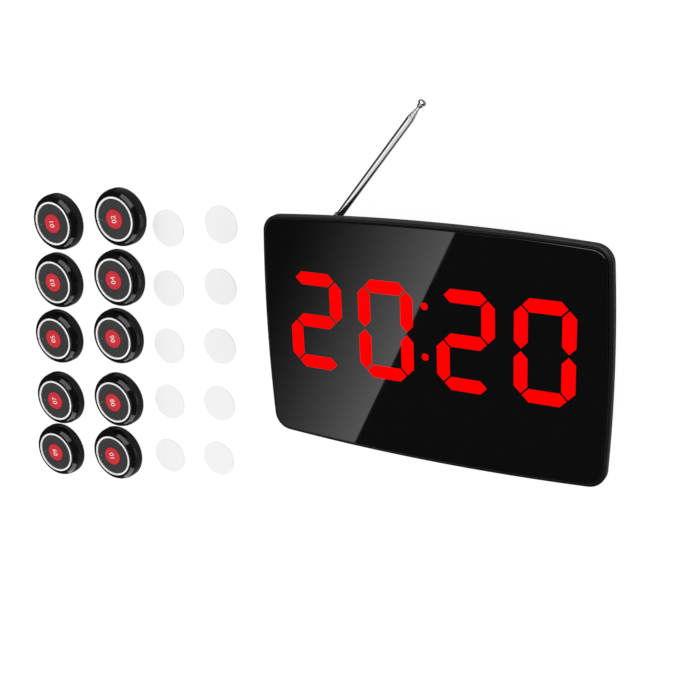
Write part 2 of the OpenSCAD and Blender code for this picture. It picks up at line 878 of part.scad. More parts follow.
// Slider at its lower stop, with grip ridges outside the wall
module power_switch_slider() {
    low = switch_y - switch_travel / 2 - slider_l / 2;
    root = inner_w / 2 - seat - switch_well + slider_play;
    ridge = slider_l / 5;
    color([0.08, 0.08, 0.08]) {
        translate([root, low, switch_z - slider_h / 2])
            cube([cover_w / 2 + slider_proud / 2 - root, slider_l, slider_h]);
        for (k = [0, 2, 4])
            translate([cover_w / 2, low + k * ridge, switch_z - slider_h / 2])
                cube([slider_proud, ridge, slider_h]);
    }
}

// Tub and flange in one moulding, with keyholes, grille, fork ears, standoffs and openings for the controls
module rear_cover() {
    color([0.13, 0.13, 0.14]) {
        difference() {
            union() {
                chamfered_block(cover_w, cover_h, cover_corner, 0, rim_z, cover_edge);
                plate(outline(flange_in), flange_z, rim_z);
                fork_ears();
            }
            chamfered_block(
                inner_w, inner_h, cover_corner - cover_wall, cover_wall, rim_z + over, cover_edge
            );
            at_case_screws()
                bar(screw_d / 2 + screw_hole_gap, flange_z - over, rim_z + over);
            cover_openings();
        }
        standoffs();
        speaker_ring();
    }
}

module cover_openings() {
    for (s = [-1, 1])
        translate([s * keyhole_pitch / 2, keyhole_y, 0]) {
            bar(keyhole_d / 2, -over, cover_wall + over);
            translate([0, keyhole_rise / 2, 0])
                rotate(90)
                    slot(keyhole_rise, keyhole_slot, -over, cover_wall + over);
        }
    translate([speaker_at[0], speaker_at[1], 0])
        for (k = [-grille_rows:grille_rows])
            let (y = k * grille_pitch)
                translate([0, y, 0])
                    slot(2 * sqrt(grille_r * grille_r - y * y), grille_slot, -over, cover_wall + over);
    at_function_keys()
        bar(key_d / 2 + key_play, -over, cover_wall + over);
    at_right_wall(jack_y, jack_z)
        bar(jack_d / 2 + seat, -over, cover_wall + over);
    translate([inner_w / 2 - over, switch_y - slot_l / 2, switch_z - slot_h / 2])
        cube([cover_wall + 2 * over, slot_l, slot_h]);
}

// Two ears on the top wall that hold the antenna's pivot screw
module fork_ears() {
    root = pivot_rise + cover_wall / 2;
    for (low = [ear_low - ear_t, ear_high])
        translate(pivot)
            difference() {
                union() {
                    bar(ear_r, low, low + ear_t);
                    translate([-ear_r, -root, low])
                        cube([2 * ear_r, root, ear_t]);
                }
                bar(pivot_d / 2 + hinge_play, low - over, low + ear_t + over);
            }
}

module standoffs() {
    at_board_screws()
        difference() {
            bar(standoff_r, cover_wall - over, board_z);
            bar(pilot_r, board_z - standoff_pilot, board_z + over);
        }
}

module speaker_ring() {
    r = speaker_d / 2 + seat;
    top = cover_wall + speaker_rib_h;
    translate([speaker_at[0], speaker_at[1], 0])
        difference() {
            bar(r + speaker_rib, cover_wall - over, top);
            bar(r, cover_wall - 2 * over, top + over);
        }
}

// A pan-head screw: its shank runs up from the underside of its head
module screw(l) {
    rotate_extrude()
        polygon([
            [0, -screw_head_h], [screw_head_r - screw_head_edge, -screw_head_h],
            [screw_head_r, screw_head_edge - screw_head_h], [screw_head_r, 0],
            [screw_d / 2, 0], [screw_d / 2, l - screw_point], [0, l]
        ]);
}

module self_tapping_screws() {
    color([0.62, 0.62, 0.64]) {
        at_case_screws()
            translate([0, 0, flange_z])
                screw(case_screw_l);
        at_board_screws()
            translate([0, 0, led_z])
                mirror([0, 0, 1])
                    screw(board_screw_l);
    }
}

// Round cap, the flange that keeps it in the wall, and the stem that meets its switch
module function_key(i) {
    top = cover_wall + key_proud;
    tip = inner_h / 2 - tact_y - tact_d - plunger_l - key_travel - seat;
    color([0.08, 0.08, 0.08])
        at_function_key(i) {
            rotate_extrude()
                polygon([
                    [0, -seat - key_flange_t], [key_flange_r, -seat - key_flange_t], [key_flange_r, -seat],
                    [key_d / 2, -seat], [key_d / 2, top - key_edge], [key_d / 2 - key_edge, top], [0, top]
                ]);
            bar(plunger_r, -tip, -seat - key_flange_t / 2);
        }
}

// Pivot screw and its nut
module antenna_screw() {
    r = pivot_d / 2;
    nut_low = ear_low - ear_t - nut_h;
    head_low = ear_high + ear_t;
    color([0.7, 0.7, 0.72])
        translate(pivot) {
            bar(r, nut_low - screw_end, head_low);
            bar(pivot_head_r, head_low, head_low + pivot_head_h);
            difference() {
                translate([0, 0, nut_low])
                    cylinder(r = nut_r, h = nut_h, $fn = 6);
                bar(r + hinge_play, nut_low - over, nut_low + nut_h + over);
            }
        }
}

module antenna_washer() {
    low = knuckle_t / 2 + fork_gap;
    color([0.75, 0.75, 0.77])
        translate(pivot)
            difference() {
                bar(knuckle_d / 2 - washer_in, low, low + washer_t);
                bar(pivot_d / 2 + hinge_play, low - over, low + washer_t + over);
            }
}

// Eye, web and the socket that holds the outer tube
module antenna_knuckle() {
    color([0.78, 0.79, 0.8])
        difference() {
            union() {
                translate(pivot)
                    bar(knuckle_d / 2, -knuckle_t / 2, knuckle_t / 2);
                along_antenna() {
                    translate([-knuckle_t / 2, web_edge - neck_r, 0])
                        cube([knuckle_t, 2 * (neck_r - web_edge), neck_start + web_edge]);
                    bar(neck_r, neck_start, neck_start + neck_l);
                }
            }
            translate(pivot)
                bar(pivot_d / 2 + hinge_play, -knuckle_t, knuckle_t);
            along_antenna()
                bar(section_r[0] + socket_gap, socket_start, neck_start + neck_l + over);
        }
}

// One hollow section with a crimped end
module antenna_section(k) {
    r = section_r[k];
    low = section_low[k];
    top = section_top[k];
    color([0.82, 0.83, 0.85])
        along_antenna()
            rotate_extrude()
                polygon([
                    [r - antenna_wall, low], [r, low], [r, top - crimp_l], [r - antenna_wall / 2, top],
                    [r - antenna_wall, top]
                ]);
}

module antenna_rod() {
    color([0.82, 0.83, 0.85])
        along_antenna()
            bar(section_r[3], section_low[3], section_top[3]);
}

// Turned ball and domed knob on the end of the rod
module antenna_tip() {
    r = tip_d / 2;
    z = section_top[3];
    cap = z + 2 * tip_ball_h;
    dome_low = cap + tip_edge + tip_rim;
    ball = [
        for (k = [-1:0.25:1])
            [tip_ball_r * cos(k * tip_ball_a), z + tip_ball_h + tip_ball_r * sin(k * tip_ball_a)]
    ];
    dome = [
        for (a = [0:15:90])
            [(r - tip_edge) * cos(a), dome_low + tip_dome * sin(a)]
    ];
    color([0.82, 0.83, 0.85])
        along_antenna()
            rotate_extrude()
                polygon(concat(
                    [[0, z]],
                    ball,
                    [[r - tip_edge, cap], [r, cap + tip_edge], [r, dome_low - tip_edge]],
                    dome
                ));
}

// Bottom cover with the ring that carries the circuit board
module button_bases() {
    ring_in = button_board_r - board_ring;
    color([0.1, 0.1, 0.1])
        at_buttons()
            rotate_extrude()
                polygon([
                    [0, 0], [base_r - base_edge, 0], [base_r, base_edge], [base_r, base_t],
                    [button_board_r, base_t], [button_board_r, button_board_z], [ring_in, button_board_z],
                    [ring_in, base_t], [0, base_t]
                ]);
}

// Domed shell: skirt, rounded shoulder, the seat of the white ring and the lip that keeps the key in
module button_housings() {
    dome = [
        for (a = [0:10:90])
            [rim_r + (button_r - rim_r) * cos(a), dome_z + (call_top - dome_z) * sin(a)]
    ];
    color([0.03, 0.03, 0.03])
        at_buttons()
            rotate_extrude()
                polygon(concat(
                    [
                        [inner_r, skirt_z], [button_r - skirt_edge[0], skirt_z],
                        [button_r, skirt_z + skirt_edge[1]]
                    ],
                    dome,
                    [
                        [ring_seat_r, call_top], [ring_seat_r, ring_low], [call_opening_r, ring_low],
                        [call_opening_r, ledge_low], [call_flange_r + shoulder / 2, ledge_low],
                        [inner_r - shoulder, button_board_top], [inner_r - shoulder, base_t],
                        [inner_r, base_t]
                    ]
                ));
}

module button_rings() {
    color([0.95, 0.95, 0.95])
        at_buttons()
            rotate_extrude()
                polygon([
                    [ring_in_r, ring_low], [ring_r, ring_low], [ring_r, ring_top - ring_edge],
                    [ring_r - ring_edge, ring_top], [ring_in_r + ring_edge, ring_top],
                    [ring_in_r, ring_top - ring_edge]
                ]);
}

module button_boards() {
    color([0.05, 0.3, 0.14])
        at_buttons()
            bar(button_board_r, button_board_z, button_board_top);
}

module button_switches() {
    color([0.12, 0.12, 0.12])
        at_buttons() {
            translate([-tact_w / 2, -tact_w / 2, button_board_top])
                cube([tact_w, tact_w, tact_h]);
            bar(plunger_r, button_board_top + tact_h, tact_top);
        }
}

// Button cell, with the narrower cap of its lower face
module button_cells() {
    r = cell_d / 2;
    cap_r = r - cell_step[0];
    cap_top = cell_z + cell_step[1];
    color([0.72, 0.72, 0.74])
        at_buttons()
            rotate_extrude()
                polygon([
                    [0, cell_z], [cap_r, cell_z], [cap_r, cap_top], [r, cap_top + cell_step[2]],
                    [r, cell_z + cell_t], [0, cell_z + cell_t]
                ]);
}

// Spring strip between the cell and the board
module cell_contacts() {
    l = cell_d + 2 * contact_end;
    color([0.8, 0.7, 0.4])
        at_buttons()
            translate([-l / 2, -contact_w / 2, cell_z + cell_t])
                cube([l, contact_w, contact_t]);
}

// Clear pin that carries the indicator's light from the board up through the key
module light_pipes() {
    color([0.85, 0.85, 0.85])
        at_buttons()
            translate([-light_in, 0, 0])
                bar(pipe_r, button_board_top, call_top - pipe_sink);
}

// Cap that is pressed: plate, skirt with its keeping flange, post for the switch and seat for the red disc
module call_key(i) {
    low = call_flange_top - call_flange_t;
    disc_seat_r = disc_r + disc_gap;
    color([0.23, 0.23, 0.24])
        at_button(i)
            difference() {
                rotate_extrude()
                    polygon([
                        [0, post_z], [post_r, post_z], [post_r, call_plate_z], [call_skirt_r, call_plate_z],
                        [call_skirt_r, low], [call_flange_r, low], [call_flange_r, call_flange_top],
                        [call_r, call_flange_top], [call_r, call_top - call_edge],
                        [call_r - call_edge, call_top], [disc_seat_r, call_top],
                        [disc_seat_r, call_top - disc_sink], [0, call_top - disc_sink]
                    ]);
                translate([-light_in, 0, 0])
                    bar(pipe_hole_r, call_plate_z - over, call_top + over);
            }
}

module call_disc(i) {
    top = call_top + disc_proud;
    color([0.9, 0.13, 0.17])
        at_button(i)
            rotate_extrude()
                polygon([
                    [0, call_top - disc_sink], [disc_r, call_top - disc_sink], [disc_r, top - disc_edge],
                    [disc_r - disc_edge, top], [0, top]
                ]);
}

module adhesive_pads() {
    color([0.93, 0.93, 0.93])
        at_pads()
            bar(pad_d / 2, 0, pad_t);
}

module pad_liners() {
    color([0.96, 0.96, 0.96])
        at_pads()
            bar(pad_d / 2, pad_t, pad_t + liner_t);
}

front_frame();
front_panel();
segment_mask();
lit_segments();
dark_segments();
led_modules();
main_board();
board_chips();
receiver_module();
key_switches();
speaker_frame();
speaker_cone();
dc_jack();
power_switch_body();
power_switch_slider();
rear_cover();
self_tapping_screws();
for (i = [0:3]) function_key(i);
antenna_screw();
antenna_washer();
antenna_knuckle();
for (k = [0:2]) antenna_section(k);
antenna_rod();
antenna_tip();
button_bases();
button_housings();
button_rings();
button_boards();
button_switches();
button_cells();
cell_contacts();
light_pipes();
for (i = [0:rows * cols - 1]) call_key(i);
for (i = [0:rows * cols - 1]) call_disc(i);
adhesive_pads();
pad_liners();
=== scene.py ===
import json
import math

import bmesh
import bpy
from mathutils import Matrix, Vector


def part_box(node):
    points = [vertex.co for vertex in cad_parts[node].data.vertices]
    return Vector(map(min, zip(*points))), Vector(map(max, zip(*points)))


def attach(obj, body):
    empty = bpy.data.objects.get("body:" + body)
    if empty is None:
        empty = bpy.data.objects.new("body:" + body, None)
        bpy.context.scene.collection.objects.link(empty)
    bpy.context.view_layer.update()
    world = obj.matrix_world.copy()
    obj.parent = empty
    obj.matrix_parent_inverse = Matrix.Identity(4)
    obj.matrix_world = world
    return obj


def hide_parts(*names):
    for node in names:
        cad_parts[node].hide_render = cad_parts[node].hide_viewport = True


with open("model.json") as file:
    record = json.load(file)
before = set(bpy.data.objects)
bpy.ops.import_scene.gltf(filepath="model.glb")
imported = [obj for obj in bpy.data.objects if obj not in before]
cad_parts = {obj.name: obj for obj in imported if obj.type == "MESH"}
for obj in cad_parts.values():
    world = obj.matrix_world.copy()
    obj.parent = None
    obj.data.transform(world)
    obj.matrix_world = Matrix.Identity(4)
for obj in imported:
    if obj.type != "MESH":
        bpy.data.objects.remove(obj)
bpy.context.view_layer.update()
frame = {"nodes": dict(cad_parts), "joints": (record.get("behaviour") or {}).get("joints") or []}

MM = 0.001
NODES = frame["nodes"]
JOINTS = {joint["name"]: joint for joint in frame["joints"]}
BUTTONS = [f"{i:02d}" for i in range(1, 11)]
FUNCTION_KEYS = [f"function_key_{i}" for i in range(1, 5)]
ROOT = "call_set"
UP = Vector((0, 0, 1))


def extent(node):
    """Lowest and highest corner of a node in millimetres."""
    low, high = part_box(node)
    return low / MM, high / MM


def levels(node):
    """Lowest and highest level of a node in millimetres."""
    low, high = extent(node)
    return low.z, high.z


# Photograph and camera
IMAGE = 680
LENS = 62.31
SENSOR = 36.0
CLIP_START = 0.01
CAMERA_AT = Vector((308.3, 254.8, 667.2))
CAMERA_RIGHT = Vector((0.8693, -0.0436, -0.4923))
CAMERA_UP = Vector((-0.1283, 0.942, -0.31))
FORWARD = CAMERA_UP.cross(CAMERA_RIGHT).normalized()
# Two pixels on the sharp edge of the panel's reflection, and how far left of it the reflection fades out
GLARE_TOP = (456, 230)
GLARE_LOW = (355, 442)
GLARE_FADE = 172

# Steps of rounded corners, degrees from which edges stay sharp, and how far tools reach past their cuts
ROUND_STEPS = 5
FINE_STEPS = 6
SHARP_ANGLE = 35
CUT_OVER = 1
# Radius taken as on the axis, digits that tell points apart, and depth of a flat face
ON_AXIS = 1e-6
WELD_DIGITS = 6
FACE_DEPTH = 0.01

# Display
DISPLAY_W = 241.2
DISPLAY_H = 160.5
BOW_TOP = 4.4
BOW_SIDE = 2.9
CORNER_R = 12.0
EDGE_STEPS = 40
FLANK_STEPS = 28
CORNER_STEPS = 16
RIM_Z, LIP_Z = levels("front_frame")
POCKET_IN = 2.6
LEDGE_W = 3.4
LEDGE_T = 1.8
FRAME_WALL = 2.4
FRAME_ROUND = 1.6
RIM_EDGE = 0.6
RIM_INNER_EDGE = 0.3
POCKET_ROUND = 0.2
LEDGE_ROUND = 0.2
LEDGE_FILLET = 0.4
PANEL_LOW, PANEL_TOP = levels("front_panel")
PANEL_GAP = 0.15
PANEL_EDGE = 0.6
PANEL_EDGE_STEPS = 10
PANEL_SHARP_ANGLE = 30

# Function keys
CAP_STEM_R = 1.7
CAP_STEM_ROUND = 0.2
CAP_FLANGE_W = 1.2
CAP_FLANGE_T = 1.0
CAP_FLANGE_ROUND = 0.15
CAP_H = 3.7
CAP_ROUND = 0.5
CROWN_H = 0.15
CROWN_SHARE = 0.55
CROWN_ROUND = 4.0
CAP_STEPS = 48

# Power inlet
INLET_R = 3.9
INLET_BORE_R = 3.15
INLET_LOW = 0.8
INLET_DEPTH = 12
INLET_BACK = 1
INLET_LEAD_IN = 0.35
INLET_ROUND = 0.25
INLET_STEPS = 64
PIN_R = 1.0
PIN_FOOT = 0.5
PIN_IN = 1
PIN_STEPS = 32

# Screw heads: shares of their radius and height, then lengths
HEAD_FLAT = 0.6
HEAD_BRIM = 0.45
RECESS_REACH = 0.62
RECESS_W = 0.24
RECESS_DEPTH = 0.6
HEAD_ROUND = 2.0
BRIM_ROUND = 0.5
HEAD_FOOT_ROUND = 0.1
HEAD_H = 1.7
HEAD_OVER = 1.5
POINT_H = 0.8
SCREW_STEPS = 40

# The antenna's pivot screw and nut
PIVOT_R = 1.5
PIVOT_HEAD_H = 1.8
NUT_W = 1.35
NUT_H = 2.4
NUT_UP = 0.6
NUT_ROUND = 0.2
NUT_SIDES = 6
NUT_SHARP_ANGLE = 20

# Antenna, along its own Z axis from the pivot
PIVOT = Vector(JOINTS["antenna_swing"]["pos_m"])
HEADING = Vector(JOINTS["antenna_slide_1"]["axis"]).normalized()
ANTENNA = (
    Matrix.Translation(PIVOT)
    @ Matrix.Rotation(math.atan2(HEADING.y, HEADING.x), 4, "Z")
    @ Matrix.Rotation(math.pi / 2, 4, "Y")
)
TUBES = {
    "antenna_tube_1": "antenna_base",
    "antenna_tube_2": "antenna_section_2",
    "antenna_tube_3": "antenna_section_3",
}
LAST_SECTION = "antenna_section_4"
TUBE_WALL = 0.35
TUBE_ROUND = 0.1
CRIMP_L = 1.4
CRIMP_ROUND = 0.8
MOUTH_L = 0.35
MOUTH_ROUND = 0.12
NECK_ROUND = 0.3
ROD_FOOT_ROUND = 0.2
ROD_ROUND = 0.05
TIP_SWELL = 0.7
TIP_EDGE = 0.3
TIP_RIM = 0.6
TIP_STEPS = 16
ANTENNA_STEPS = 96

# Call button: key and red disc
KEY_LOW, KEY_TOP = levels("call_key_01")
DISC_LOW, DISC_TOP = levels("call_disc_01")
DISC_R = (extent("call_disc_01")[1].x - extent("call_disc_01")[0].x) / 2
DISC_FOOT_ROUND = 0.1
DISC_ROUND = 0.35
DISC_STEPS = 96
DISC_SEAT_ROUND = 0.12
CALL_R = 15.1
CALL_WALL = 1.5
CALL_ROUND = 0.35
CALL_FLANGE_W = 1.4
CALL_FLANGE_GAP = 0.2
CALL_STEPS = 128
PLATE_T = 1.6
POST_R = 2.3
POST_H = 0.7
LIGHT_IN = 12.3
PIPE_R = 0.6
PIPE_GAP = 0.2
PIPE_STEPS = 32
NUMBER_H = 6.2
NUMBER_T = 0.04

# Call button: white ring and housing
RING_LOW, RING_TOP = levels("button_rings")
RING_R = CALL_R + 0.4
RING_W = 1.5
RING_ROUND = 0.4
RING_STEPS = 128
NOTCH_W = 0.5
NOTCH_DEPTH = 0.9
SEAT_GAP = 0.05
SEAT_R = RING_R + RING_W + SEAT_GAP
SEAT_ROUND = 0.15
LEDGE_LOW = RING_LOW - 1.4
LEDGE_R = CALL_R + 1.9
OPENING_R = CALL_R + 0.25
BUTTON_R = 22.0
HOUSING_WALL = 1.8
HOUSING_STEPS = 112
DOME_R = SEAT_R + 0.5
DOME_LOW = 5.0
DOME_STEPS = 24
SKIRT_LOW = levels("button_housings")[0]
SKIRT_ROUND = 0.5
SKIRT_INNER_ROUND = 0.2
FOOT_W = 0.5
FOOT_H = 0.9
FOOT_ROUND = 0.3
BOARD_TOP = levels("button_boards")[1]
SHOULDER_W = 1
SHOULDER_LOW = 2

# Adhesive pads
PAD_EDGE = 0.1
PAD_ROUND = 1.0
LINER_ROUND = 0.05
PAD_STEPS = 80


# Shapes

def arc(centre, radius, start, end, steps):
    """Points along an arc, without its last one; angles in radians."""
    angles = [start + (end - start) * k / steps for k in range(steps)]
    return [(centre[0] + radius * math.cos(a), centre[1] + radius * math.sin(a)) for a in angles]


def bow_radius(half, rise):
    return (half * half + rise * rise) / (2 * rise)


def touching_centre(p, a, q, b):
    """Centre of a circle that keeps distance a from (0, -p) and distance b from (-q, 0)."""
    m = q / p
    k = (a * a - b * b - p * p + q * q) / (2 * p)
    h = q + m * k
    x = (math.sqrt(h * h - (1 + m * m) * (q * q + k * k - b * b)) - h) / (1 + m * m)
    return x, m * x + k


def display_outline(inset):
    """The display's outline moved in by a distance: four bowed edges and the corner arcs between them."""
    edge_r = bow_radius(DISPLAY_W / 2, BOW_TOP)
    flank_r = bow_radius(DISPLAY_H / 2, BOW_SIDE)
    edge_c = DISPLAY_H / 2 - edge_r
    flank_c = DISPLAY_W / 2 - flank_r
    cx, cy = touching_centre(-edge_c, edge_r - CORNER_R, -flank_c, flank_r - CORNER_R)
    edge_a = math.atan2(cy - edge_c, cx)
    flank_a = math.atan2(cy, cx - flank_c)
    half = math.pi
    full = 2 * math.pi
    turns = [-flank_a, flank_a, edge_a, half - edge_a, half - flank_a]
    turns += [half + flank_a, half + edge_a, full - edge_a, full - flank_a]
    centres = [(flank_c, 0), (cx, cy), (0, edge_c), (-cx, cy)]
    centres += [(-flank_c, 0), (-cx, -cy), (0, -edge_c), (cx, -cy)]
    radii = [flank_r, CORNER_R, edge_r, CORNER_R] * 2
    steps = [FLANK_STEPS, CORNER_STEPS, EDGE_STEPS, CORNER_STEPS] * 2
    points = []
    for k, centre in enumerate(centres):
        points += arc(centre, radii[k] - inset, turns[k], turns[k + 1], steps[k])
    return points


def rounded(corners, closed=False, steps=ROUND_STEPS):
    """A path whose corners are (x, y) or (x, y, radius of its rounding)."""
    points = []
    count = len(corners)
    for i, corner in enumerate(corners):
        here = Vector(corner[:2])
        radius = corner[2] if len(corner) > 2 else 0
        inner = closed or 0 < i < count - 1
        if not radius or not inner:
            points.append(tuple(here))
            continue
        before = (Vector(corners[i - 1][:2]) - here).normalized()
        after = (Vector(corners[(i + 1) % count][:2]) - here).normalized()
        half = before.angle(after) / 2
        centre = here + (before + after).normalized() * radius / math.sin(half)
        start = here + before * radius / math.tan(half) - centre
        end = here + after * radius / math.tan(half) - centre
        first = math.atan2(start.y, start.x)
        turn = math.atan2(start.x * end.y - start.y * end.x, start.dot(end))
        points += arc(centre, radius, first, first + turn, steps)
        points.append(tuple(centre + end))
    return points


def ellipse_quarter(centre, width, height, steps):
    """A quarter of an ellipse from its side up to its top."""
    angles = [math.pi / 2 * k / steps for k in range(steps + 1)]
    return [(centre[0] + width * math.cos(a), centre[1] + height * math.sin(a)) for a in angles]


def bridge(rings, closed):
    """Faces between neighbouring rings of vertex numbers; a ring of one number is a point on the axis."""
    faces = []
    following = rings[1:] + rings[:1] if closed else rings[1:]
    for a, b in zip(rings, following):
        count = max(len(a), len(b))
        for k in range(count):
            m = (k + 1) % count
            quad = [a[k % len(a)], a[m % len(a)], b[m % len(b)], b[k % len(b)]]
            face = list(dict.fromkeys(quad))
            if len(face) > 2:
                faces.append(face)
    return faces


def revolve(profile, steps, closed=False):
    """A profile of (radius, height) turned round Z; a closed profile makes a ring."""
    verts = []
    rings = []
    for radius, height in profile:
        count = steps if radius > ON_AXIS else 1
        rings.append(list(range(len(verts), len(verts) + count)))
        for k in range(count):
            a = 2 * math.pi * k / steps
            verts.append((radius * math.cos(a), radius * math.sin(a), height))
    return verts, bridge(rings, closed)


def outline_ring(profile):
    """A closed profile of (distance in, height) swept round the display's outline."""
    verts = []
    rings = []
    for inset, height in profile:
        points = display_outline(inset)
        rings.append(list(range(len(verts), len(verts) + len(points))))
        verts += [(x, y, height) for x, y in points]
    return verts, bridge(rings, True)


def block(low, high):
    verts = [(x, y, z) for x in (low[0], high[0]) for y in (low[1], high[1]) for z in (low[2], high[2])]
    faces = [(0, 1, 3, 2), (4, 6, 7, 5), (0, 4, 5, 1), (2, 3, 7, 6), (0, 2, 6, 4), (1, 5, 7, 3)]
    return verts, faces


def placed(shape, matrix):
    """A copy of a shape under a matrix in millimetres."""
    verts, faces = shape
    return [tuple(matrix @ Vector(v)) for v in verts], faces


def joined(shapes):
    verts = []
    faces = []
    for part_verts, part_faces in shapes:
        start = len(verts)
        verts += part_verts
        faces += [[start + i for i in face] for face in part_faces]
    return verts, faces


def move(x, y, z):
    """A shift in millimetres, as a matrix in metres."""
    return Matrix.Translation(Vector((x, y, z)) * MM)


# Meshes and pieces

def smooth(mesh, angle=SHARP_ANGLE):
    """Smooth shading, with creases sharper than the angle in degrees kept."""
    for polygon in mesh.polygons:
        polygon.use_smooth = True
    mesh.set_sharp_from_angle(angle=math.radians(angle))


def to_mesh(name, shape, angle=SHARP_ANGLE):
    """A closed mesh in metres from a shape in millimetres."""
    verts, faces = shape
    mesh = bpy.data.meshes.new(name)
    mesh.from_pydata([tuple(Vector(v) * MM) for v in verts], [], faces)
    work = bmesh.new()
    work.from_mesh(mesh)
    bmesh.ops.recalc_face_normals(work, faces=work.faces)
    work.to_mesh(mesh)
    work.free()
    smooth(mesh, angle)
    return mesh


def merged(name, meshes):
    work = bmesh.new()
    for mesh in meshes:
        work.from_mesh(mesh)
    whole = bpy.data.meshes.new(name)
    work.to_mesh(whole)
    work.free()
    smooth(whole)
    return whole


def cut(mesh, tool):
    """Takes the shape of tool out of a mesh; both in metres."""
    scene = bpy.context.scene
    body = bpy.data.objects.new("cut_body", mesh)
    cutter = bpy.data.objects.new("cut_tool", tool)
    for obj in (body, cutter):
        scene.collection.objects.link(obj)
    boolean = body.modifiers.new("cut", "BOOLEAN")
    boolean.operation = "DIFFERENCE"
    boolean.solver = "EXACT"
    boolean.object = cutter
    graph = bpy.context.evaluated_depsgraph_get()
    result = bpy.data.meshes.new_from_object(body.evaluated_get(graph))
    for obj in (body, cutter):
        bpy.data.objects.remove(obj)
    return result


def islands(node):
    """The separate solids of a node, each as its points in millimetres."""
    mesh = NODES[node].data
    keys = [tuple(round(c, WELD_DIGITS) for c in vertex.co) for vertex in mesh.vertices]
    parent = {key: key for key in keys}

    def top(key):
        while parent[key] != key:
            parent[key] = parent[parent[key]]
            key = parent[key]
        return key

    for edge in mesh.edges:
        parent[top(keys[edge.vertices[0]])] = top(keys[edge.vertices[1]])
    groups = {}
    for key in sorted(parent):
        groups.setdefault(top(key), []).append(Vector(key) / MM)
    return [groups[key] for key in sorted(groups)]


def add_piece(name, mesh, body, stands_for=(), place=Matrix()):
    """Adds a piece that rides on a body, with the nodes that it stands for hidden."""
    piece = bpy.data.objects.new(name, mesh)
    bpy.context.scene.collection.objects.link(piece)
    piece.matrix_world = place
    piece.modifiers.new("true_faces", "WEIGHTED_NORMAL").keep_sharp = True
    if stands_for:
        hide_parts(*stands_for)
    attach(piece, body)
    return piece


def add_finished(name, shape, body, slot, stands_for, place=Matrix()):
    mesh = to_mesh(name, shape)
    mesh.materials.append(MATERIALS[slot])
    return add_piece(name, mesh, body, stands_for, place)


# Materials

SOCKETS = {
    "colour": "Base Color", "rough": "Roughness", "metal": "Metallic", "specular": "Specular IOR Level",
    "glow": "Emission Color", "glow_strength": "Emission Strength", "sheen": "Sheen Weight",
}
# The range that most of a noise texture lies in
NOISE_MIDDLE = (0.3, 0.7)
BEVEL_SAMPLES = 4


def shader_of(made):
    return made.node_tree.nodes["Principled BSDF"]


def finish(name, **values):
    """A material whose even values sit on the shader's own sockets."""
    made = bpy.data.materials.new(name)
    made.use_nodes = True
    for key, value in values.items():
        if key in ("colour", "glow"):
            value = (*value, 1.0)
        shader_of(made).inputs[SOCKETS[key]].default_value = value
    return made


def grain(made, size, detail=2.0, stretch=(1, 1, 1)):
    """Noise with features of a size in millimetres, drawn out along an axis by stretch."""
    tree = made.node_tree
    place = tree.nodes.new("ShaderNodeTexCoord")
    mapping = tree.nodes.new("ShaderNodeMapping")
    mapping.inputs["Scale"].default_value = [1 / s for s in stretch]
    noise = tree.nodes.new("ShaderNodeTexNoise")
    noise.inputs["Scale"].default_value = 1 / (size * MM)
    noise.inputs["Detail"].default_value = detail
    tree.links.new(place.outputs["Object"], mapping.inputs["Vector"])
    tree.links.new(mapping.outputs["Vector"], noise.inputs["Vector"])
    return noise.outputs["Fac"]


def map_range(tree, source, target):
    """A node that carries one range of values to another."""
    node = tree.nodes.new("ShaderNodeMapRange")
    for label, values in (("From", source), ("To", target)):
        node.inputs[f"{label} Min"].default_value = values[0]
        node.inputs[f"{label} Max"].default_value = values[1]
    return node


def spread(made, texture, low, high):
    """A texture's middle range carried to low and high."""
    node = map_range(made.node_tree, NOISE_MIDDLE, (low, high))
    made.node_tree.links.new(texture, node.inputs["Value"])
    return node.outputs["Result"]


def vary_rough(made, texture, low, high):
    made.node_tree.links.new(spread(made, texture, low, high), shader_of(made).inputs["Roughness"])


def vary_colour(made, colour, size, darkest, lightest):
    """Lets the base colour wander between two shares of a colour, in clouds of a size in millimetres."""
    tree = made.node_tree
    mix = tree.nodes.new("ShaderNodeMix")
    mix.data_type = "RGBA"
    sockets = [socket for socket in mix.inputs if socket.type == "RGBA"]
    for socket, share in zip(sockets, (darkest, lightest)):
        socket.default_value = (*[c * share for c in colour], 1.0)
    tree.links.new(spread(made, grain(made, size), 0, 1), mix.inputs["Factor"])
    result = next(socket for socket in mix.outputs if socket.type == "RGBA")
    tree.links.new(result, shader_of(made).inputs["Base Color"])


def emboss(made, texture, height):
    """Raises the surface by a texture, up to a height in millimetres."""
    tree = made.node_tree
    bump = tree.nodes.new("ShaderNodeBump")
    bump.inputs["Distance"].default_value = height * MM
    tree.links.new(texture, bump.inputs["Height"])
    tree.links.new(bump.outputs["Normal"], shader_of(made).inputs["Normal"])


def soften(made, radius):
    """Rounds the look of sharp edges on an embossed material by a radius in millimetres."""
    tree = made.node_tree
    edge = tree.nodes.new("ShaderNodeBevel")
    edge.samples = BEVEL_SAMPLES
    edge.inputs["Radius"].default_value = radius * MM
    bump = next(node for node in tree.nodes if node.bl_idname == "ShaderNodeBump")
    tree.links.new(edge.outputs["Normal"], bump.inputs["Normal"])


def moulded(name, colour, rough, texture_size, texture_height, edge=0.0):
    """Moulded plastic: fine spark-eroded texture, cloudy gloss and a slight drift of colour."""
    made = finish(name, colour=colour, rough=rough)
    vary_colour(made, colour, size=9.0, darkest=0.92, lightest=1.08)
    vary_rough(made, grain(made, size=2.5), low=rough - 0.05, high=rough + 0.05)
    emboss(made, grain(made, texture_size, detail=3.0), texture_height)
    if edge:
        soften(made, edge)
    return made


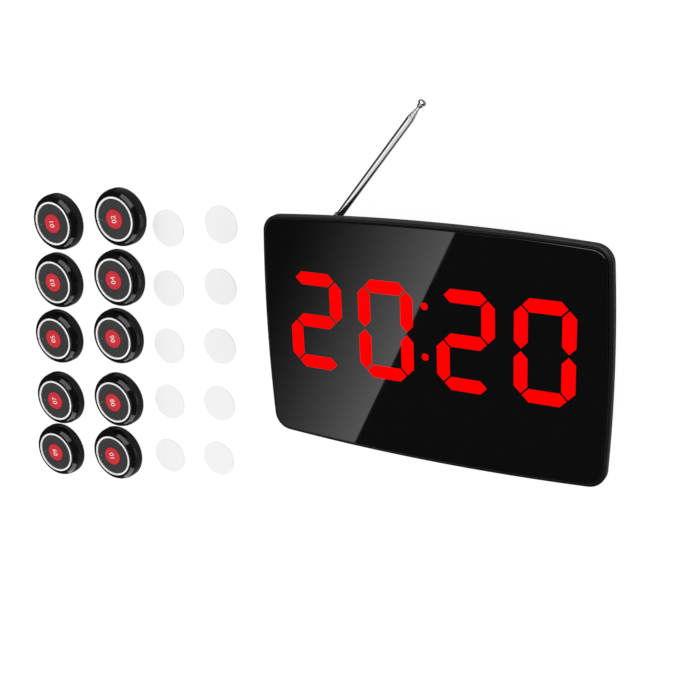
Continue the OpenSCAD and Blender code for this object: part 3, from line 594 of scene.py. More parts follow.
def metal(name, colour, rough, line_size, stretch, line_height=0.001):
    """Plated or rolled metal with fine drawn lines and cloudy gloss."""
    made = finish(name, colour=colour, rough=rough, metal=1.0)
    vary_colour(made, colour, size=4.0, darkest=0.95, lightest=1.03)
    lines = grain(made, line_size, stretch=stretch)
    vary_rough(made, lines, low=rough * 0.7, high=rough * 1.3)
    emboss(made, lines, line_height)
    return made


def polished(name, colour, rough, ripple=0.0):
    """Polished plastic: faint smears in its gloss and, where it is moulded, a slight ripple."""
    made = finish(name, colour=colour, rough=rough)
    vary_colour(made, colour, size=12.0, darkest=0.9, lightest=1.1)
    smears = grain(made, size=14.0, detail=4.0, stretch=(1, 2, 1))
    vary_rough(made, smears, low=rough * 0.85, high=rough * 1.15)
    if ripple:
        emboss(made, grain(made, size=5.0), ripple)
    return made


def felted(name, colour, rough, fibre, height):
    """Foam or paper: a felted surface with cells or fibres of a size in millimetres."""
    made = finish(name, colour=colour, rough=rough, specular=0.25, sheen=0.1)
    vary_colour(made, colour, size=fibre * 3, darkest=0.975, lightest=1.015)
    vary_rough(made, grain(made, fibre * 2), low=rough - 0.06, high=rough + 0.06)
    emboss(made, grain(made, fibre, detail=4.0), height)
    return made


def glowing(name, colour, strength):
    """A lit segment: even light with a trace of the diffuser's cloudiness, and no gloss."""
    made = finish(name, colour=(0.02, 0, 0), rough=1.0, specular=0.0, glow=colour)
    cloud = spread(made, grain(made, size=1.5), low=strength, high=strength * 1.1)
    made.node_tree.links.new(cloud, shader_of(made).inputs["Emission Strength"])
    return made


# Colour, roughness, size and height of the texture and, where there is one, radius of the softened edges
MOULDED = {
    "frame_plastic": ((0.0065, 0.0065, 0.0067), 0.36, 0.25, 0.004),
    "mask_black": ((0.004, 0.004, 0.004), 0.8, 0.2, 0.002),
    "segment_dark": ((0.03, 0.006, 0.006), 0.6, 0.3, 0.004),
    "led_housing": ((0.012, 0.012, 0.012), 0.55, 0.3, 0.006),
    "chip_black": ((0.012, 0.012, 0.012), 0.62, 0.2, 0.006),
    "inlet_black": ((0.008, 0.008, 0.008), 0.42, 0.25, 0.003, 0.15),
    "cover_plastic": ((0.0125, 0.0125, 0.013), 0.5, 0.45, 0.012, 0.35),
    "function_key_black": ((0.0095, 0.0095, 0.0098), 0.46, 0.2, 0.004),
    "button_base_black": ((0.01, 0.01, 0.01), 0.5, 0.3, 0.006, 0.2),
    "ring_white": ((0.93, 0.93, 0.925), 0.32, 0.3, 0.002),
    "call_key_grey": ((0.044, 0.044, 0.045), 0.55, 0.22, 0.006),
    "disc_red": ((0.72, 0.014, 0.03), 0.36, 0.3, 0.003),
    "number_white": ((0.82, 0.82, 0.81), 0.45, 0.2, 0.002),
}
# Colour, roughness, size of the drawn lines, how far each axis draws them out and, unless usual, their height
METALS = {
    "shield_steel": ((0.62, 0.62, 0.61), 0.34, 0.3, (8, 1, 1)),
    "speaker_steel": ((0.42, 0.43, 0.44), 0.4, 0.3, (1, 1, 6)),
    "switch_steel": ((0.5, 0.5, 0.5), 0.36, 0.25, (1, 6, 1)),
    "screw_steel": ((0.55, 0.55, 0.53), 0.3, 0.25, (1, 1, 4)),
    "antenna_chrome": ((0.8, 0.8, 0.8), 0.07, 0.12, (1, 1, 60), 0.0004),
    "cell_steel": ((0.6, 0.6, 0.59), 0.25, 0.3, (6, 1, 1)),
    "contact_brass": ((0.7, 0.52, 0.22), 0.3, 0.3, (6, 1, 1)),
    "nickel": ((0.66, 0.63, 0.57), 0.22, 0.2, (1, 1, 8)),
}
# Colour, roughness and, where there is one, height of the ripple
POLISHED = {
    "panel_acrylic": ((0.003, 0.003, 0.0031), 0.02),
    "board_green": ((0.012, 0.09, 0.035), 0.28, 0.006),
    "button_gloss": ((0.0042, 0.0042, 0.0043), 0.1, 0.002),
    "pipe_clear": ((0.22, 0.22, 0.22), 0.2),
}
# Colour, roughness, size and height of the fibres
FELTED = {
    "speaker_paper": ((0.014, 0.014, 0.015), 0.85, 0.5, 0.03),
    "pad_foam": ((0.8, 0.8, 0.79), 0.8, 0.35, 0.03),
    "liner_paper": ((0.925, 0.925, 0.925), 0.55, 0.25, 0.006),
}
# Colour and strength
GLOWING = {"segment_lit": ((1.0, 0.0, 0.0006), 1.0)}


def make_materials():
    recipes = {moulded: MOULDED, metal: METALS, polished: POLISHED, felted: FELTED, glowing: GLOWING}
    made = {}
    for recipe, table in recipes.items():
        for name, values in table.items():
            made[name] = recipe(name, *values)
    return made


MATERIALS = make_materials()
KEPT_NODES = {
    "segment_mask": "mask_black", "lit_segments": "segment_lit", "dark_segments": "segment_dark",
    "led_modules": "led_housing", "main_board": "board_green", "board_chips": "chip_black",
    "receiver_module": "shield_steel", "key_switches": "chip_black", "speaker_frame": "speaker_steel",
    "speaker_cone": "speaker_paper", "power_switch_body": "switch_steel",
    "power_switch_slider": "function_key_black", "rear_cover": "cover_plastic",
    "antenna_washer": "screw_steel", "antenna_knuckle": "antenna_chrome",
    "button_bases": "button_base_black", "button_boards": "board_green", "button_switches": "chip_black",
    "button_cells": "cell_steel", "cell_contacts": "contact_brass", "light_pipes": "pipe_clear",
}


def dress_kept_nodes():
    """Gives each solid that is shown as it is the finish of its slot."""
    for node, slot in KEPT_NODES.items():
        materials = NODES[node].data.materials
        materials.clear()
        materials.append(MATERIALS[slot])


# Display

def make_frame():
    """Bezel swept from one profile: rim, rounded front edge, lip, pocket and ledge."""
    ledge_in = POCKET_IN + LEDGE_W
    ledge_low = PANEL_LOW - LEDGE_T
    profile = rounded([
        (0, RIM_Z, RIM_EDGE), (0, LIP_Z, FRAME_ROUND), (POCKET_IN, LIP_Z, POCKET_ROUND),
        (POCKET_IN, PANEL_LOW), (ledge_in, PANEL_LOW, LEDGE_ROUND), (ledge_in, ledge_low, LEDGE_ROUND),
        (FRAME_WALL, ledge_low, LEDGE_FILLET), (FRAME_WALL, RIM_Z, RIM_INNER_EDGE),
    ], closed=True, steps=FINE_STEPS)
    add_finished("bezel", outline_ring(profile), ROOT, "frame_plastic", ["front_frame"])


def lit_outlines():
    """Outlines of the lit segments and dots, each in order round its middle."""
    outlines = []
    for points in islands("lit_segments"):
        top = max(p.z for p in points)
        face = [p.to_2d() for p in points if top - p.z < FACE_DEPTH]
        middle = sum(face, Vector((0, 0))) / len(face)
        outlines.append(sorted(face, key=lambda p: math.atan2(p.y - middle.y, p.x - middle.x)))
    return outlines


def plate_mesh(inset):
    """The panel inside its rim, with the lit segments let into its face."""
    work = bmesh.new()

    def loop(points, height):
        return [work.verts.new(Vector((x, y, height)) * MM) for x, y in points]

    def edges(ring):
        return [work.edges.new((ring[k - 1], ring[k])) for k in range(len(ring))]

    upper, lower = (loop(display_outline(inset), level) for level in (PANEL_TOP, PANEL_LOW))
    windows = [loop(points, PANEL_TOP) for points in lit_outlines()]
    front_edges = edges(upper)
    for ring in windows:
        front_edges += edges(ring)
    bmesh.ops.triangle_fill(work, use_beauty=True, edges=front_edges, normal=UP)
    for k in range(len(upper)):
        work.faces.new((upper[k - 1], lower[k - 1], lower[k], upper[k]))
    work.faces.new(reversed(lower))
    for ring in windows:
        work.faces.new(ring).material_index = 1
    bmesh.ops.recalc_face_normals(work, faces=work.faces)
    mesh = bpy.data.meshes.new("panel")
    work.to_mesh(mesh)
    work.free()
    smooth(mesh, PANEL_SHARP_ANGLE)
    return mesh


def make_panel():
    """Smoked panel, black and glossy: its plate, and its rounded rim, which cards light by itself."""
    inset = POCKET_IN + PANEL_GAP
    seam = inset + PANEL_EDGE
    side_top = PANEL_TOP - PANEL_EDGE
    edge = arc((seam, side_top), PANEL_EDGE, math.pi / 2, math.pi, PANEL_EDGE_STEPS)
    rim = edge + [(inset, side_top), (inset, PANEL_LOW), (seam, PANEL_LOW)]
    add_finished("panel_rim", outline_ring(rim), ROOT, "panel_acrylic", ())
    mesh = plate_mesh(seam)
    mesh.materials.append(MATERIALS["panel_acrylic"])
    mesh.materials.append(MATERIALS["segment_lit"])
    add_piece("smoked_panel", mesh, ROOT, ["front_panel"])


def function_key_shape(length, radius):
    """A cap with a softly domed face, its flange and its stem; the face is at the height of length."""
    flange_r = radius + CAP_FLANGE_W
    flange_top = length - CAP_H
    flange_low = flange_top - CAP_FLANGE_T
    return revolve(rounded([
        (0, 0), (CAP_STEM_R, 0, CAP_STEM_ROUND), (CAP_STEM_R, flange_low),
        (flange_r, flange_low, CAP_FLANGE_ROUND), (flange_r, flange_top, CAP_FLANGE_ROUND),
        (radius, flange_top), (radius, length - CROWN_H, CAP_ROUND),
        (radius * CROWN_SHARE, length, CROWN_ROUND), (0, length),
    ]), CAP_STEPS)


def make_function_keys():
    for i, node in enumerate(FUNCTION_KEYS, 1):
        low, high = extent(node)
        middle = (low + high) / 2
        place = move(middle.x, low.y, middle.z) @ Matrix.Rotation(-math.pi / 2, 4, "X")
        radius = (high.z - low.z) / 2 - CAP_FLANGE_W
        shape = function_key_shape(high.y - low.y, radius)
        add_finished(f"key_cap_{i}", shape, node, "function_key_black", [node], place)


def make_inlet():
    """Power inlet: a socket with a lead-in, and a nickel-plated centre pin."""
    low, high = extent("dc_jack")
    bottom = -INLET_DEPTH
    back = bottom - INLET_BACK
    foot = bottom - PIN_FOOT
    collar = revolve(rounded([
        (0, bottom), (INLET_BORE_R, bottom), (INLET_BORE_R, 0, INLET_LEAD_IN), (INLET_R, 0, INLET_ROUND),
        (INLET_R, back), (0, back),
    ]), INLET_STEPS)
    pin = revolve(rounded([(0, foot), (PIN_R, foot), (PIN_R, -PIN_IN, PIN_R / 2), (0, -PIN_IN)]), PIN_STEPS)
    mesh = to_mesh("inlet", joined([collar, pin]))
    mesh.materials.append(MATERIALS["inlet_black"])
    mesh.materials.append(MATERIALS["nickel"])
    first_pin_face = len(collar[1])
    for polygon in mesh.polygons[first_pin_face:]:
        polygon.material_index = 1
    outward = Matrix.Rotation(math.pi / 2, 4, "Y")
    place = move(high.x, (low.y + high.y) / 2, low.z + INLET_LOW + INLET_R) @ outward
    add_piece("inlet_socket", mesh, ROOT, ["dc_jack"], place)


# Fasteners

def recess_bars(radius, width, depth):
    """Two crossed bars that cut a recess down from z = 0."""
    bar = block((-radius, -width / 2, -depth), (radius, width / 2, CUT_OVER))
    return [placed(bar, Matrix.Rotation(turn, 4, "Z")) for turn in (0, math.pi / 2)]


def pan_screw(radius, head_h, shank_r, length, slotted):
    """A pan-head screw with its head's face at z = 0 and its shank going down."""
    end = -head_h - length
    profile = rounded([
        (0, 0), (radius * HEAD_FLAT, 0, HEAD_ROUND), (radius, -head_h * HEAD_BRIM, BRIM_ROUND),
        (radius, -head_h, HEAD_FOOT_ROUND), (shank_r, -head_h), (shank_r, end + POINT_H), (0, end),
    ])
    mesh = to_mesh("pan_screw", revolve(profile, SCREW_STEPS))
    bars = recess_bars(radius * RECESS_REACH, radius * RECESS_W, head_h * RECESS_DEPTH)
    for bar in bars[:1] if slotted else bars:
        mesh = cut(mesh, to_mesh("recess", bar))
    smooth(mesh)
    return mesh


def make_screws():
    """All self-tapping screws as one piece, each where its solid is."""
    screws = []
    for points in islands("self_tapping_screws"):
        low = Vector([min(p[k] for p in points) for k in range(3)])
        high = Vector([max(p[k] for p in points) for k in range(3)])
        middle = (low + high) / 2
        radius = (high.x - low.x) / 2
        widest = max(points, key=lambda p: (p - middle).to_2d().length)
        head_up = widest.z > middle.z
        face_z = high.z if head_up else low.z
        turn = Matrix() if head_up else Matrix.Rotation(math.pi, 4, "X")
        screw = pan_screw(radius, HEAD_H, radius - HEAD_OVER, high.z - low.z - HEAD_H, False)
        screw.transform(move(middle.x, middle.y, face_z) @ turn)
        screws.append(screw)
    mesh = merged("screws", screws)
    mesh.materials.append(MATERIALS["screw_steel"])
    add_piece("case_and_board_screws", mesh, ROOT, ["self_tapping_screws"])


def make_pivot_screw():
    """The antenna's pivot screw with its slotted head, and its hexagon nut."""
    low, high = extent("antenna_screw")
    pivot = PIVOT / MM
    length = high.z - low.z - PIVOT_HEAD_H
    screw = pan_screw(PIVOT_R + HEAD_OVER, PIVOT_HEAD_H, PIVOT_R, length, True)
    screw.transform(move(0, 0, high.z - pivot.z))
    nut_r = PIVOT_R + NUT_W
    nut_low = low.z - pivot.z + NUT_UP
    nut_top = nut_low + NUT_H
    nut = revolve(rounded([
        (PIVOT_R, nut_low), (nut_r, nut_low, NUT_ROUND), (nut_r, nut_top, NUT_ROUND), (PIVOT_R, nut_top),
    ], closed=True), NUT_SIDES, closed=True)
    mesh = merged("pivot_screw", [screw, to_mesh("nut", nut, NUT_SHARP_ANGLE)])
    mesh.materials.append(MATERIALS["screw_steel"])
    add_piece("pivot_screw_and_nut", mesh, ROOT, ["antenna_screw"], move(*pivot))


# Antenna

def along_antenna(node):
    """Start, end and radius of a node along the antenna, in millimetres from the pivot."""
    local = [ANTENNA.inverted() @ vertex.co / MM for vertex in NODES[node].data.vertices]
    return min(p.z for p in local), max(p.z for p in local), max(p.to_2d().length for p in local)


def add_chrome(node, shape, body):
    add_finished(f"{node}_chrome", shape, body, "antenna_chrome", [node], ANTENNA)


def make_tube(node, body):
    """One hollow section: its end is rolled in over the next one."""
    low, top, radius = along_antenna(node)
    inner = radius - TUBE_WALL
    neck = radius - TUBE_WALL / 2
    shape = revolve(rounded([
        (inner, low), (radius, low, TUBE_ROUND), (radius, top - CRIMP_L, CRIMP_ROUND),
        (neck, top - MOUTH_L, NECK_ROUND), (neck, top, MOUTH_ROUND), (inner, top),
    ], closed=True), ANTENNA_STEPS, closed=True)
    add_chrome(node, shape, body)


def make_rod_and_tip():
    """The innermost section and its tip: a ball under a rimmed cap."""
    low, top, radius = along_antenna("antenna_rod")
    rod = rounded([(0, low), (radius, low, ROD_FOOT_ROUND), (radius, top, ROD_ROUND), (0, top)])
    add_chrome("antenna_rod", revolve(rod, ANTENNA_STEPS), LAST_SECTION)
    low, top, knob_r = along_antenna("antenna_tip")
    ball_r = radius + TIP_SWELL
    half = math.acos(radius / ball_r)
    rise = ball_r * math.sin(half)
    cap = low + 2 * rise
    ball = arc((0, low + rise), ball_r, -half, half, TIP_STEPS)
    rim = rounded([(radius, cap), (knob_r, cap, TIP_EDGE), (knob_r, cap + TIP_RIM)])
    dome = ellipse_quarter((0, cap + TIP_RIM), knob_r, top - cap - TIP_RIM, TIP_STEPS)[1:]
    tip = [(0, low)] + ball + rim + dome
    add_chrome("antenna_tip", revolve(tip, ANTENNA_STEPS), LAST_SECTION)


def make_antenna():
    for node, body in TUBES.items():
        make_tube(node, body)
    make_rod_and_tip()


# Call buttons

def disc_middle(number):
    low, high = extent(f"call_disc_{number}")
    return (low + high) / 2


def button_places():
    """Where each button stands, turned so that its light is on its left."""
    across = disc_middle(BUTTONS[1]) - disc_middle(BUTTONS[0])
    turn = Matrix.Rotation(math.atan2(across.y, across.x), 4, "Z")
    places = []
    for number in BUTTONS:
        middle = disc_middle(number)
        places.append(move(middle.x, middle.y, 0) @ turn)
    return places


PLACES = button_places()


def at_buttons(shape):
    """One copy of a shape at each button."""
    copies = []
    for place in PLACES:
        in_mm = place.copy()
        in_mm.translation = place.translation / MM
        copies.append(placed(shape, in_mm))
    return joined(copies)


def make_housings():
    """Domed shells: skirt, rounded shoulder and the seat of the white ring."""
    inner = BUTTON_R - HOUSING_WALL
    shoulder = inner - SHOULDER_W
    dome = ellipse_quarter((DOME_R, DOME_LOW), BUTTON_R - DOME_R, KEY_TOP - DOME_LOW, DOME_STEPS)
    skirt = rounded([
        (shoulder, BOARD_TOP), (shoulder, SHOULDER_LOW), (inner, SHOULDER_LOW),
        (inner, SKIRT_LOW, SKIRT_INNER_ROUND), (BUTTON_R - FOOT_W, SKIRT_LOW, FOOT_ROUND),
        (BUTTON_R, SKIRT_LOW + FOOT_H, SKIRT_ROUND), dome[0],
    ])
    seat = rounded([
        dome[-1], (SEAT_R, KEY_TOP, SEAT_ROUND), (SEAT_R, RING_LOW), (OPENING_R, RING_LOW),
        (OPENING_R, LEDGE_LOW), (LEDGE_R, LEDGE_LOW),
    ])
    profile = skirt + dome[1:] + seat[1:]
    shape = at_buttons(revolve(profile, HOUSING_STEPS, closed=True))
    add_finished("button_shells", shape, ROOT, "button_gloss", ["button_housings"])


def make_rings():
    """White rings, each with a notch on the side of the light."""
    outer = RING_R + RING_W
    profile = rounded([
        (RING_R, RING_LOW), (outer, RING_LOW), (outer, RING_TOP, RING_ROUND), (RING_R, RING_TOP, RING_ROUND),
    ], closed=True)
    ring = to_mesh("ring", revolve(profile, RING_STEPS, closed=True))
    low = (-outer - CUT_OVER, -NOTCH_W / 2, RING_TOP - NOTCH_DEPTH)
    high = (-RING_R + CUT_OVER, NOTCH_W / 2, RING_TOP + CUT_OVER)
    ring = cut(ring, to_mesh("notch", block(low, high)))
    copies = []
    for place in PLACES:
        copy = ring.copy()
        copy.transform(place)
        copies.append(copy)
    mesh = merged("rings", copies)
    mesh.materials.append(MATERIALS["ring_white"])
    add_piece("white_rings", mesh, ROOT, ["button_rings"])


def call_key_mesh():
    """The pressed cap: plate, skirt with its flange, post, seat of the red disc and the light's hole."""
    plate_low = KEY_TOP - PLATE_T
    post_low = plate_low - POST_H
    inner = CALL_R - CALL_WALL
    flange_r = CALL_R + CALL_FLANGE_W
    flange_top = LEDGE_LOW - CALL_FLANGE_GAP
    seat_r = DISC_R + SEAT_GAP
    shape = revolve(rounded([
        (0, post_low), (POST_R, post_low), (POST_R, plate_low), (inner, plate_low), (inner, KEY_LOW),
        (flange_r, KEY_LOW), (flange_r, flange_top), (CALL_R, flange_top), (CALL_R, KEY_TOP, CALL_ROUND),
        (seat_r, KEY_TOP, DISC_SEAT_ROUND), (seat_r, DISC_LOW), (0, DISC_LOW),
    ]), CALL_STEPS)
    hole_r = PIPE_R + PIPE_GAP
    low = plate_low - CUT_OVER
    high = KEY_TOP + CUT_OVER
    hole = revolve([(0, low), (hole_r, low), (hole_r, high), (0, high)], PIPE_STEPS)
    hole = placed(hole, Matrix.Translation((-LIGHT_IN, 0, 0)))
    mesh = cut(to_mesh("call_key", shape), to_mesh("light_hole", hole))
    smooth(mesh)
    mesh.materials.clear()
    mesh.materials.append(MATERIALS["call_key_grey"])
    return mesh


def disc_mesh():
    profile = rounded([
        (0, DISC_LOW), (DISC_R, DISC_LOW, DISC_FOOT_ROUND), (DISC_R, DISC_TOP, DISC_ROUND), (0, DISC_TOP),
    ], steps=FINE_STEPS)
    mesh = to_mesh("red_disc", revolve(profile, DISC_STEPS))
    mesh.materials.append(MATERIALS["disc_red"])
    return mesh


def number_mesh(label):
    """A printed number, read upwards, with its middle at the origin."""
    curve = bpy.data.curves.new(f"number_{label}", "FONT")
    curve.body = label
    curve.size = NUMBER_H * MM
    curve.align_x = "CENTER"
    curve.align_y = "CENTER"
    curve.extrude = NUMBER_T / 2 * MM
    holder = bpy.data.objects.new("number_holder", curve)
    bpy.context.scene.collection.objects.link(holder)
    graph = bpy.context.evaluated_depsgraph_get()
    mesh = bpy.data.meshes.new_from_object(holder.evaluated_get(graph))
    bpy.data.objects.remove(holder)
    mesh.transform(Matrix.Rotation(math.pi / 2, 4, "Z"))
    mesh.materials.clear()
    mesh.materials.append(MATERIALS["number_white"])
    return mesh


def make_call_keys():
    key = call_key_mesh()
    disc = disc_mesh()
    for number, place in zip(BUTTONS, PLACES):
        body = f"call_key_{number}"
        add_piece(f"key_plate_{number}", key, body, [f"call_key_{number}"], place)
        add_piece(f"red_disc_{number}", disc, body, [f"call_disc_{number}"], place)
        print_place = place @ move(0, 0, DISC_TOP + NUMBER_T / 2)
        add_piece(f"number_{number}", number_mesh(number), body, (), print_place)


# Adhesive pads

def make_pads():
    """Foam pads with softly pressed edges, each with its paper liner on top."""
    foam = []
    liners = []
    low, high = levels("pad_liners")
    for points in islands("adhesive_pads"):
        middle = sum(points, Vector()) / len(points)
        radius = max((p - middle).to_2d().length for p in points)
        place = Matrix.Translation((middle.x, middle.y, 0))
        pad = rounded([
            (0, 0), (radius - PAD_EDGE, 0, PAD_EDGE), (radius, low / 2, PAD_ROUND),
            (radius - PAD_EDGE, low, PAD_EDGE), (0, low),
        ])
        liner = rounded([(0, low), (radius, low), (radius, high, LINER_ROUND), (0, high)])
        foam.append(placed(revolve(pad, PAD_STEPS), place))
        liners.append(placed(revolve(liner, PAD_STEPS), place))
    pads = add_finished("foam_pads", joined(foam), ROOT, "pad_foam", ["adhesive_pads"])
    add_finished("paper_liners", joined(liners), ROOT, "liner_paper", ["pad_liners"])


# Studio

AMBIENT = 1.0
# What polished surfaces see of the room, the floor and its left side, and where these pass into each other
SKY_GLOSS = 0.03
FLOOR_GLOSS = 0.22
LEFT_GLOSS = 0.03
LEFT_EDGE = (-0.66, -0.52)
HORIZON = (-0.08, 0.08)
FLOOR_HALF = 4000
FLOOR_Z = -0.1
FLOOR_DIFFUSE = 0.12
FLOOR_GLOW = 0.94
# Height and strength of the card in the panel's face, and how far it goes on past both of its pixels
CARD_Z = 900.0
GLARE = 1.9
GLARE_OVER = 0.6
# Distance of the other cards, and the step between those that lie behind each other
CARD_R = 6000.0
CARD_STEP = 50.0
RISE_STEPS = 8
BEARING_STEPS = 12

CHROME = [f"{node}_chrome" for node in (*TUBES, "antenna_rod")]
TIP = "antenna_tip_chrome"
# Name, bearings and rises in degrees, strength, whether it fades, and the pieces that reflect it
BENT_CARDS = (
    ("window_card", (28, 87), (4, 76), 3.4, False, ("panel_rim", TIP)),
    ("bezel_card", (28, 87), (4, 76), 2.0, False, ("bezel",)),
    ("back_card", (87, 106), (10, 28), 3.4, False, ("bezel", TIP)),
    ("edge_card", (87, 103.5), (-25, 55), 4.0, False, ("panel_rim",)),
    ("edge_fade_card", (110, 103.5), (-25, 55), 4.0, True, ("panel_rim",)),
    ("rim_card", (95, 135), (-5, 40), 0.8, False, ("bezel",)),
)
# Turns round the antenna in degrees from its top line, and millimetres along it
ANTENNA_BRIGHT = (-16, 48)
ANTENNA_SPAN = (-10, 125)
ANTENNA_LIGHT = 0.78
ANTENNA_TURN_STEPS = 16
ANTENNA_SPAN_STEPS = 4
# Name, shares along the antenna's axis, turns round it in degrees from its top line, and strength
CHROME_CARDS = (
    ("chrome_front_card", (-0.25, 0.95), (-75, 60), 0.85),
    ("chrome_back_card", (-0.95, -0.6), (-75, 60), 0.85),
    ("chrome_floor_front_card", (-0.25, 0.95), (105, 240), 0.55),
    ("chrome_floor_back_card", (-0.95, -0.6), (105, 240), 0.55),
)
CHROME_TURN_STEPS = 12
CHROME_SHARE_STEPS = 8
# Name and turns in degrees; both lie between two shares of the button's radius
DOME_CARDS = (("upper_card", (26, 59)), ("lower_card", (-69, -34)))
DOME_SHARES = (0.855, 0.955)
DOME_LIGHT = 2.4
DOME_PLACE = PLACES[4]
DOME_TURN_STEPS = 10
DOME_SHARE_STEPS = 8


def make_camera():
    data = bpy.data.cameras.new("camera")
    data.lens = LENS
    data.sensor_width = SENSOR
    data.clip_start = CLIP_START
    camera = bpy.data.objects.new("camera", data)
    bpy.context.scene.collection.objects.link(camera)
    axes = Matrix((CAMERA_RIGHT, CAMERA_UP, -FORWARD)).transposed().to_4x4()
    camera.matrix_world = move(*CAMERA_AT) @ axes
    bpy.context.scene.camera = camera


def make_world():
    """Even white light for matt surfaces; polished ones see a dark room and a dim floor, dark on its left."""
    world = bpy.data.worlds.new("studio")
    world.use_nodes = True
    bpy.context.scene.world = world
    tree = world.node_tree
    background = tree.nodes["Background"]
    path = tree.nodes.new("ShaderNodeLightPath")
    place = tree.nodes.new("ShaderNodeTexCoord")
    split = tree.nodes.new("ShaderNodeSeparateXYZ")
    side = map_range(tree, LEFT_EDGE, (LEFT_GLOSS, FLOOR_GLOSS))
    horizon = map_range(tree, HORIZON, (0, SKY_GLOSS))
    mix = tree.nodes.new("ShaderNodeMix")
    mix.data_type = "FLOAT"
    mix.inputs[2].default_value = AMBIENT
    tree.links.new(place.outputs["Generated"], split.inputs["Vector"])
    tree.links.new(split.outputs["X"], side.inputs["Value"])
    tree.links.new(side.outputs["Result"], horizon.inputs["To Min"])
    tree.links.new(split.outputs["Z"], horizon.inputs["Value"])
    tree.links.new(path.outputs["Is Glossy Ray"], mix.inputs[0])
    tree.links.new(horizon.outputs["Result"], mix.inputs[3])
    tree.links.new(mix.outputs[0], background.inputs["Strength"])
    background.inputs["Color"].default_value = (1, 1, 1, 1)


def on_stage(name, rows, material):
    """A stage object through rows of points in millimetres, mapped from 0 to 1 along and across them."""
    across = len(rows[0])
    faces = []
    for j in range(len(rows) - 1):
        for i in range(across - 1):
            k = j * across + i
            faces.append((k, k + 1, k + across + 1, k + across))
    mesh = bpy.data.meshes.new(name)
    mesh.from_pydata([tuple(Vector(point) * MM) for row in rows for point in row], [], faces)
    layer = mesh.uv_layers.new(name="card")
    for spot, corner in zip(layer.data, mesh.loops):
        row, column = divmod(corner.vertex_index, across)
        spot.uv = (column / (across - 1), row / (len(rows) - 1))
    mesh.materials.append(material)
    obj = bpy.data.objects.new(name, mesh)
    bpy.context.scene.collection.objects.link(obj)
    return obj


def make_floor():
    """White floor paper that glows a little, so that it comes out as white as the photograph's ground."""
    paper = finish("floor_paper", colour=(FLOOR_DIFFUSE,) * 3, rough=1.0, specular=0.0, glow=(1, 1, 1),
                   glow_strength=FLOOR_GLOW)
    ends = (-FLOOR_HALF, FLOOR_HALF)
    floor = on_stage("floor", [[(x, y, FLOOR_Z) for x in ends] for y in ends], paper)
    floor.visible_glossy = False


def card_material(name, strength, fading):
    """Light of a card that hides nothing behind it: even, or fading out towards the start of its rows."""
    made = bpy.data.materials.new(name)
    made.use_nodes = True
    tree = made.node_tree
    tree.nodes.clear()
    output = tree.nodes.new("ShaderNodeOutputMaterial")
    light = tree.nodes.new("ShaderNodeEmission")
    light.inputs["Strength"].default_value = strength
    clear = tree.nodes.new("ShaderNodeBsdfTransparent")
    both = tree.nodes.new("ShaderNodeAddShader")
    tree.links.new(light.outputs["Emission"], both.inputs[0])
    tree.links.new(clear.outputs["BSDF"], both.inputs[1])
    tree.links.new(both.outputs["Shader"], output.inputs["Surface"])
    if fading:
        place = tree.nodes.new("ShaderNodeUVMap")
        gradient = tree.nodes.new("ShaderNodeTexGradient")
        gradient.gradient_type = "QUADRATIC"
        tree.links.new(place.outputs["UV"], gradient.inputs["Vector"])
        tree.links.new(gradient.outputs["Color"], light.inputs["Color"])
    return made


def make_card(name, rows, strength, fading=False, pieces=()):
    """A card seen only in reflections: in those of some pieces, or of all if none are named."""
    card = on_stage(name, rows, card_material(f"{name}_light", strength, fading))
    card.visible_camera = False
    card.visible_diffuse = False
    card.visible_shadow = False
    card.visible_transmission = False
    if pieces:
        lit = bpy.data.collections.new(f"{name}_pieces")
        for piece in pieces:
            lit.objects.link(bpy.data.objects[piece])
        card.light_linking.receiver_collection = lit


def reflected(pixel, height):
    """Where the view through a pixel goes after the panel's face, at a height over the floor."""
    scale = SENSOR / LENS / IMAGE
    right = (pixel[0] - IMAGE / 2) * scale
    down = (pixel[1] - IMAGE / 2) * scale
    ray = FORWARD + CAMERA_RIGHT * right - CAMERA_UP * down
    on_panel = CAMERA_AT + ray * (PANEL_TOP - CAMERA_AT.z) / ray.z
    bounced = Vector((ray.x, ray.y, -ray.z))
    return on_panel + bounced * (height - PANEL_TOP) / bounced.z


def mirrored(place, normal):
    """Where the camera's view goes from a place on a polished surface."""
    ray = (place - CAMERA_AT).normalized()
    return place + (ray - normal * 2 * ray.dot(normal)) * CARD_R


def even_steps(ends, count):
    low, high = ends
    return [low + (high - low) * k / count for k in range(count + 1)]


def even_turns(ends, count):
    """Even steps between two angles in degrees, as radians."""
    return even_steps([math.radians(end) for end in ends], count)


def off_antenna(turn):
    """Direction away from the antenna's axis at a turn from its top line."""
    return UP * math.cos(turn) + HEADING.cross(UP) * math.sin(turn)


def make_glare_card():
    """The card whose sharp edge crosses the panel and which fades towards the left."""
    top = reflected(GLARE_TOP, CARD_Z)
    low = reflected(GLARE_LOW, CARD_Z)
    fade = reflected((GLARE_TOP[0] - GLARE_FADE, GLARE_TOP[1]), CARD_Z) - top
    beyond = (top - low) * GLARE_OVER
    rows = [[end + fade, end] for end in (low - beyond, top + beyond)]
    make_card("glare_card", rows, GLARE, fading=True)


def make_bent_card(layer, name, bearings, rises, strength, fading, pieces):
    """A card bent to a sphere round the set, between two bearings and two rises."""
    distance = CARD_R + layer * CARD_STEP
    rows = []
    for rise in even_turns(rises, RISE_STEPS):
        row = []
        for turn in even_turns(bearings, BEARING_STEPS):
            flat = math.cos(rise)
            row.append(Vector((math.cos(turn) * flat, math.sin(turn) * flat, math.sin(rise))) * distance)
        rows.append(row)
    make_card(name, rows, strength, fading, pieces)


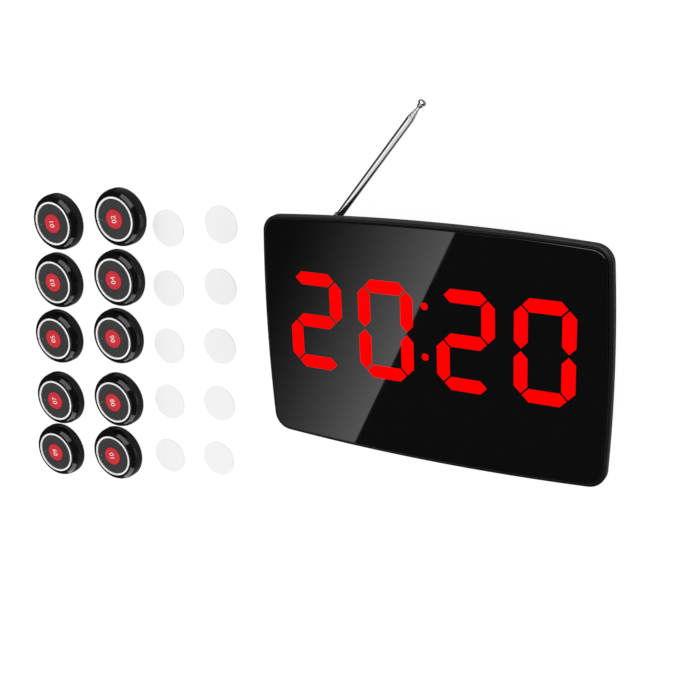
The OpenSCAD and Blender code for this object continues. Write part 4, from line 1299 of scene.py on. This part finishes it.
def make_antenna_card():
    """The card that the camera sees along the antenna, between two turns round its axis."""
    rows = []
    for turn in even_turns(ANTENNA_BRIGHT, ANTENNA_TURN_STEPS):
        normal = off_antenna(turn)
        spots = [PIVOT / MM + HEADING * length for length in even_steps(ANTENNA_SPAN, ANTENNA_SPAN_STEPS)]
        rows.append([mirrored(spot, normal) for spot in spots])
    make_card("antenna_card", rows, ANTENNA_LIGHT, pieces=(*CHROME, TIP))


def make_chrome_card(layer, name, shares, turns, strength):
    """A card round the antenna's axis, between two shares along it and two turns round it.

    A tube mirrors only a cone of directions, so a card off the camera's own cone shows in other views alone.
    """
    distance = CARD_R + layer * CARD_STEP
    rows = []
    for turn in even_turns(turns, CHROME_TURN_STEPS):
        outward = off_antenna(turn)
        rows.append([
            (HEADING * share + outward * math.sqrt(1 - share * share)) * distance
            for share in even_steps(shares, CHROME_SHARE_STEPS)
        ])
    make_card(name, rows, strength, pieces=CHROME)


def make_dome_card(name, turns):
    """A card seen as a patch on each button's dome, between two turns round the button."""
    middle = DOME_PLACE.translation / MM
    width = BUTTON_R - DOME_R
    height = KEY_TOP - DOME_LOW
    rows = []
    for turn in even_turns(turns, DOME_TURN_STEPS):
        outward = DOME_PLACE.to_3x3() @ Vector((math.cos(turn), math.sin(turn), 0))
        row = []
        for share in even_steps(DOME_SHARES, DOME_SHARE_STEPS):
            radius = share * BUTTON_R
            slope = math.acos((radius - DOME_R) / width)
            spot = middle + outward * radius + UP * (DOME_LOW + height * math.sin(slope))
            normal = outward * math.cos(slope) / width + UP * math.sin(slope) / height
            row.append(mirrored(spot, normal.normalized()))
        rows.append(row)
    make_card(name, rows, DOME_LIGHT, pieces=("button_shells",))


def make_stage():
    make_world()
    make_floor()
    make_glare_card()
    for layer, card in enumerate(BENT_CARDS):
        make_bent_card(layer, *card)
    make_antenna_card()
    for layer, card in enumerate(CHROME_CARDS, len(BENT_CARDS)):
        make_chrome_card(layer, *card)
    for card in DOME_CARDS:
        make_dome_card(*card)
    bpy.context.scene.view_settings.view_transform = "Standard"


make_camera()
dress_kept_nodes()
make_frame()
make_panel()
make_function_keys()
make_inlet()
make_screws()
make_pivot_screw()
make_antenna()
make_housings()
make_rings()
make_call_keys()
make_pads()
make_stage()
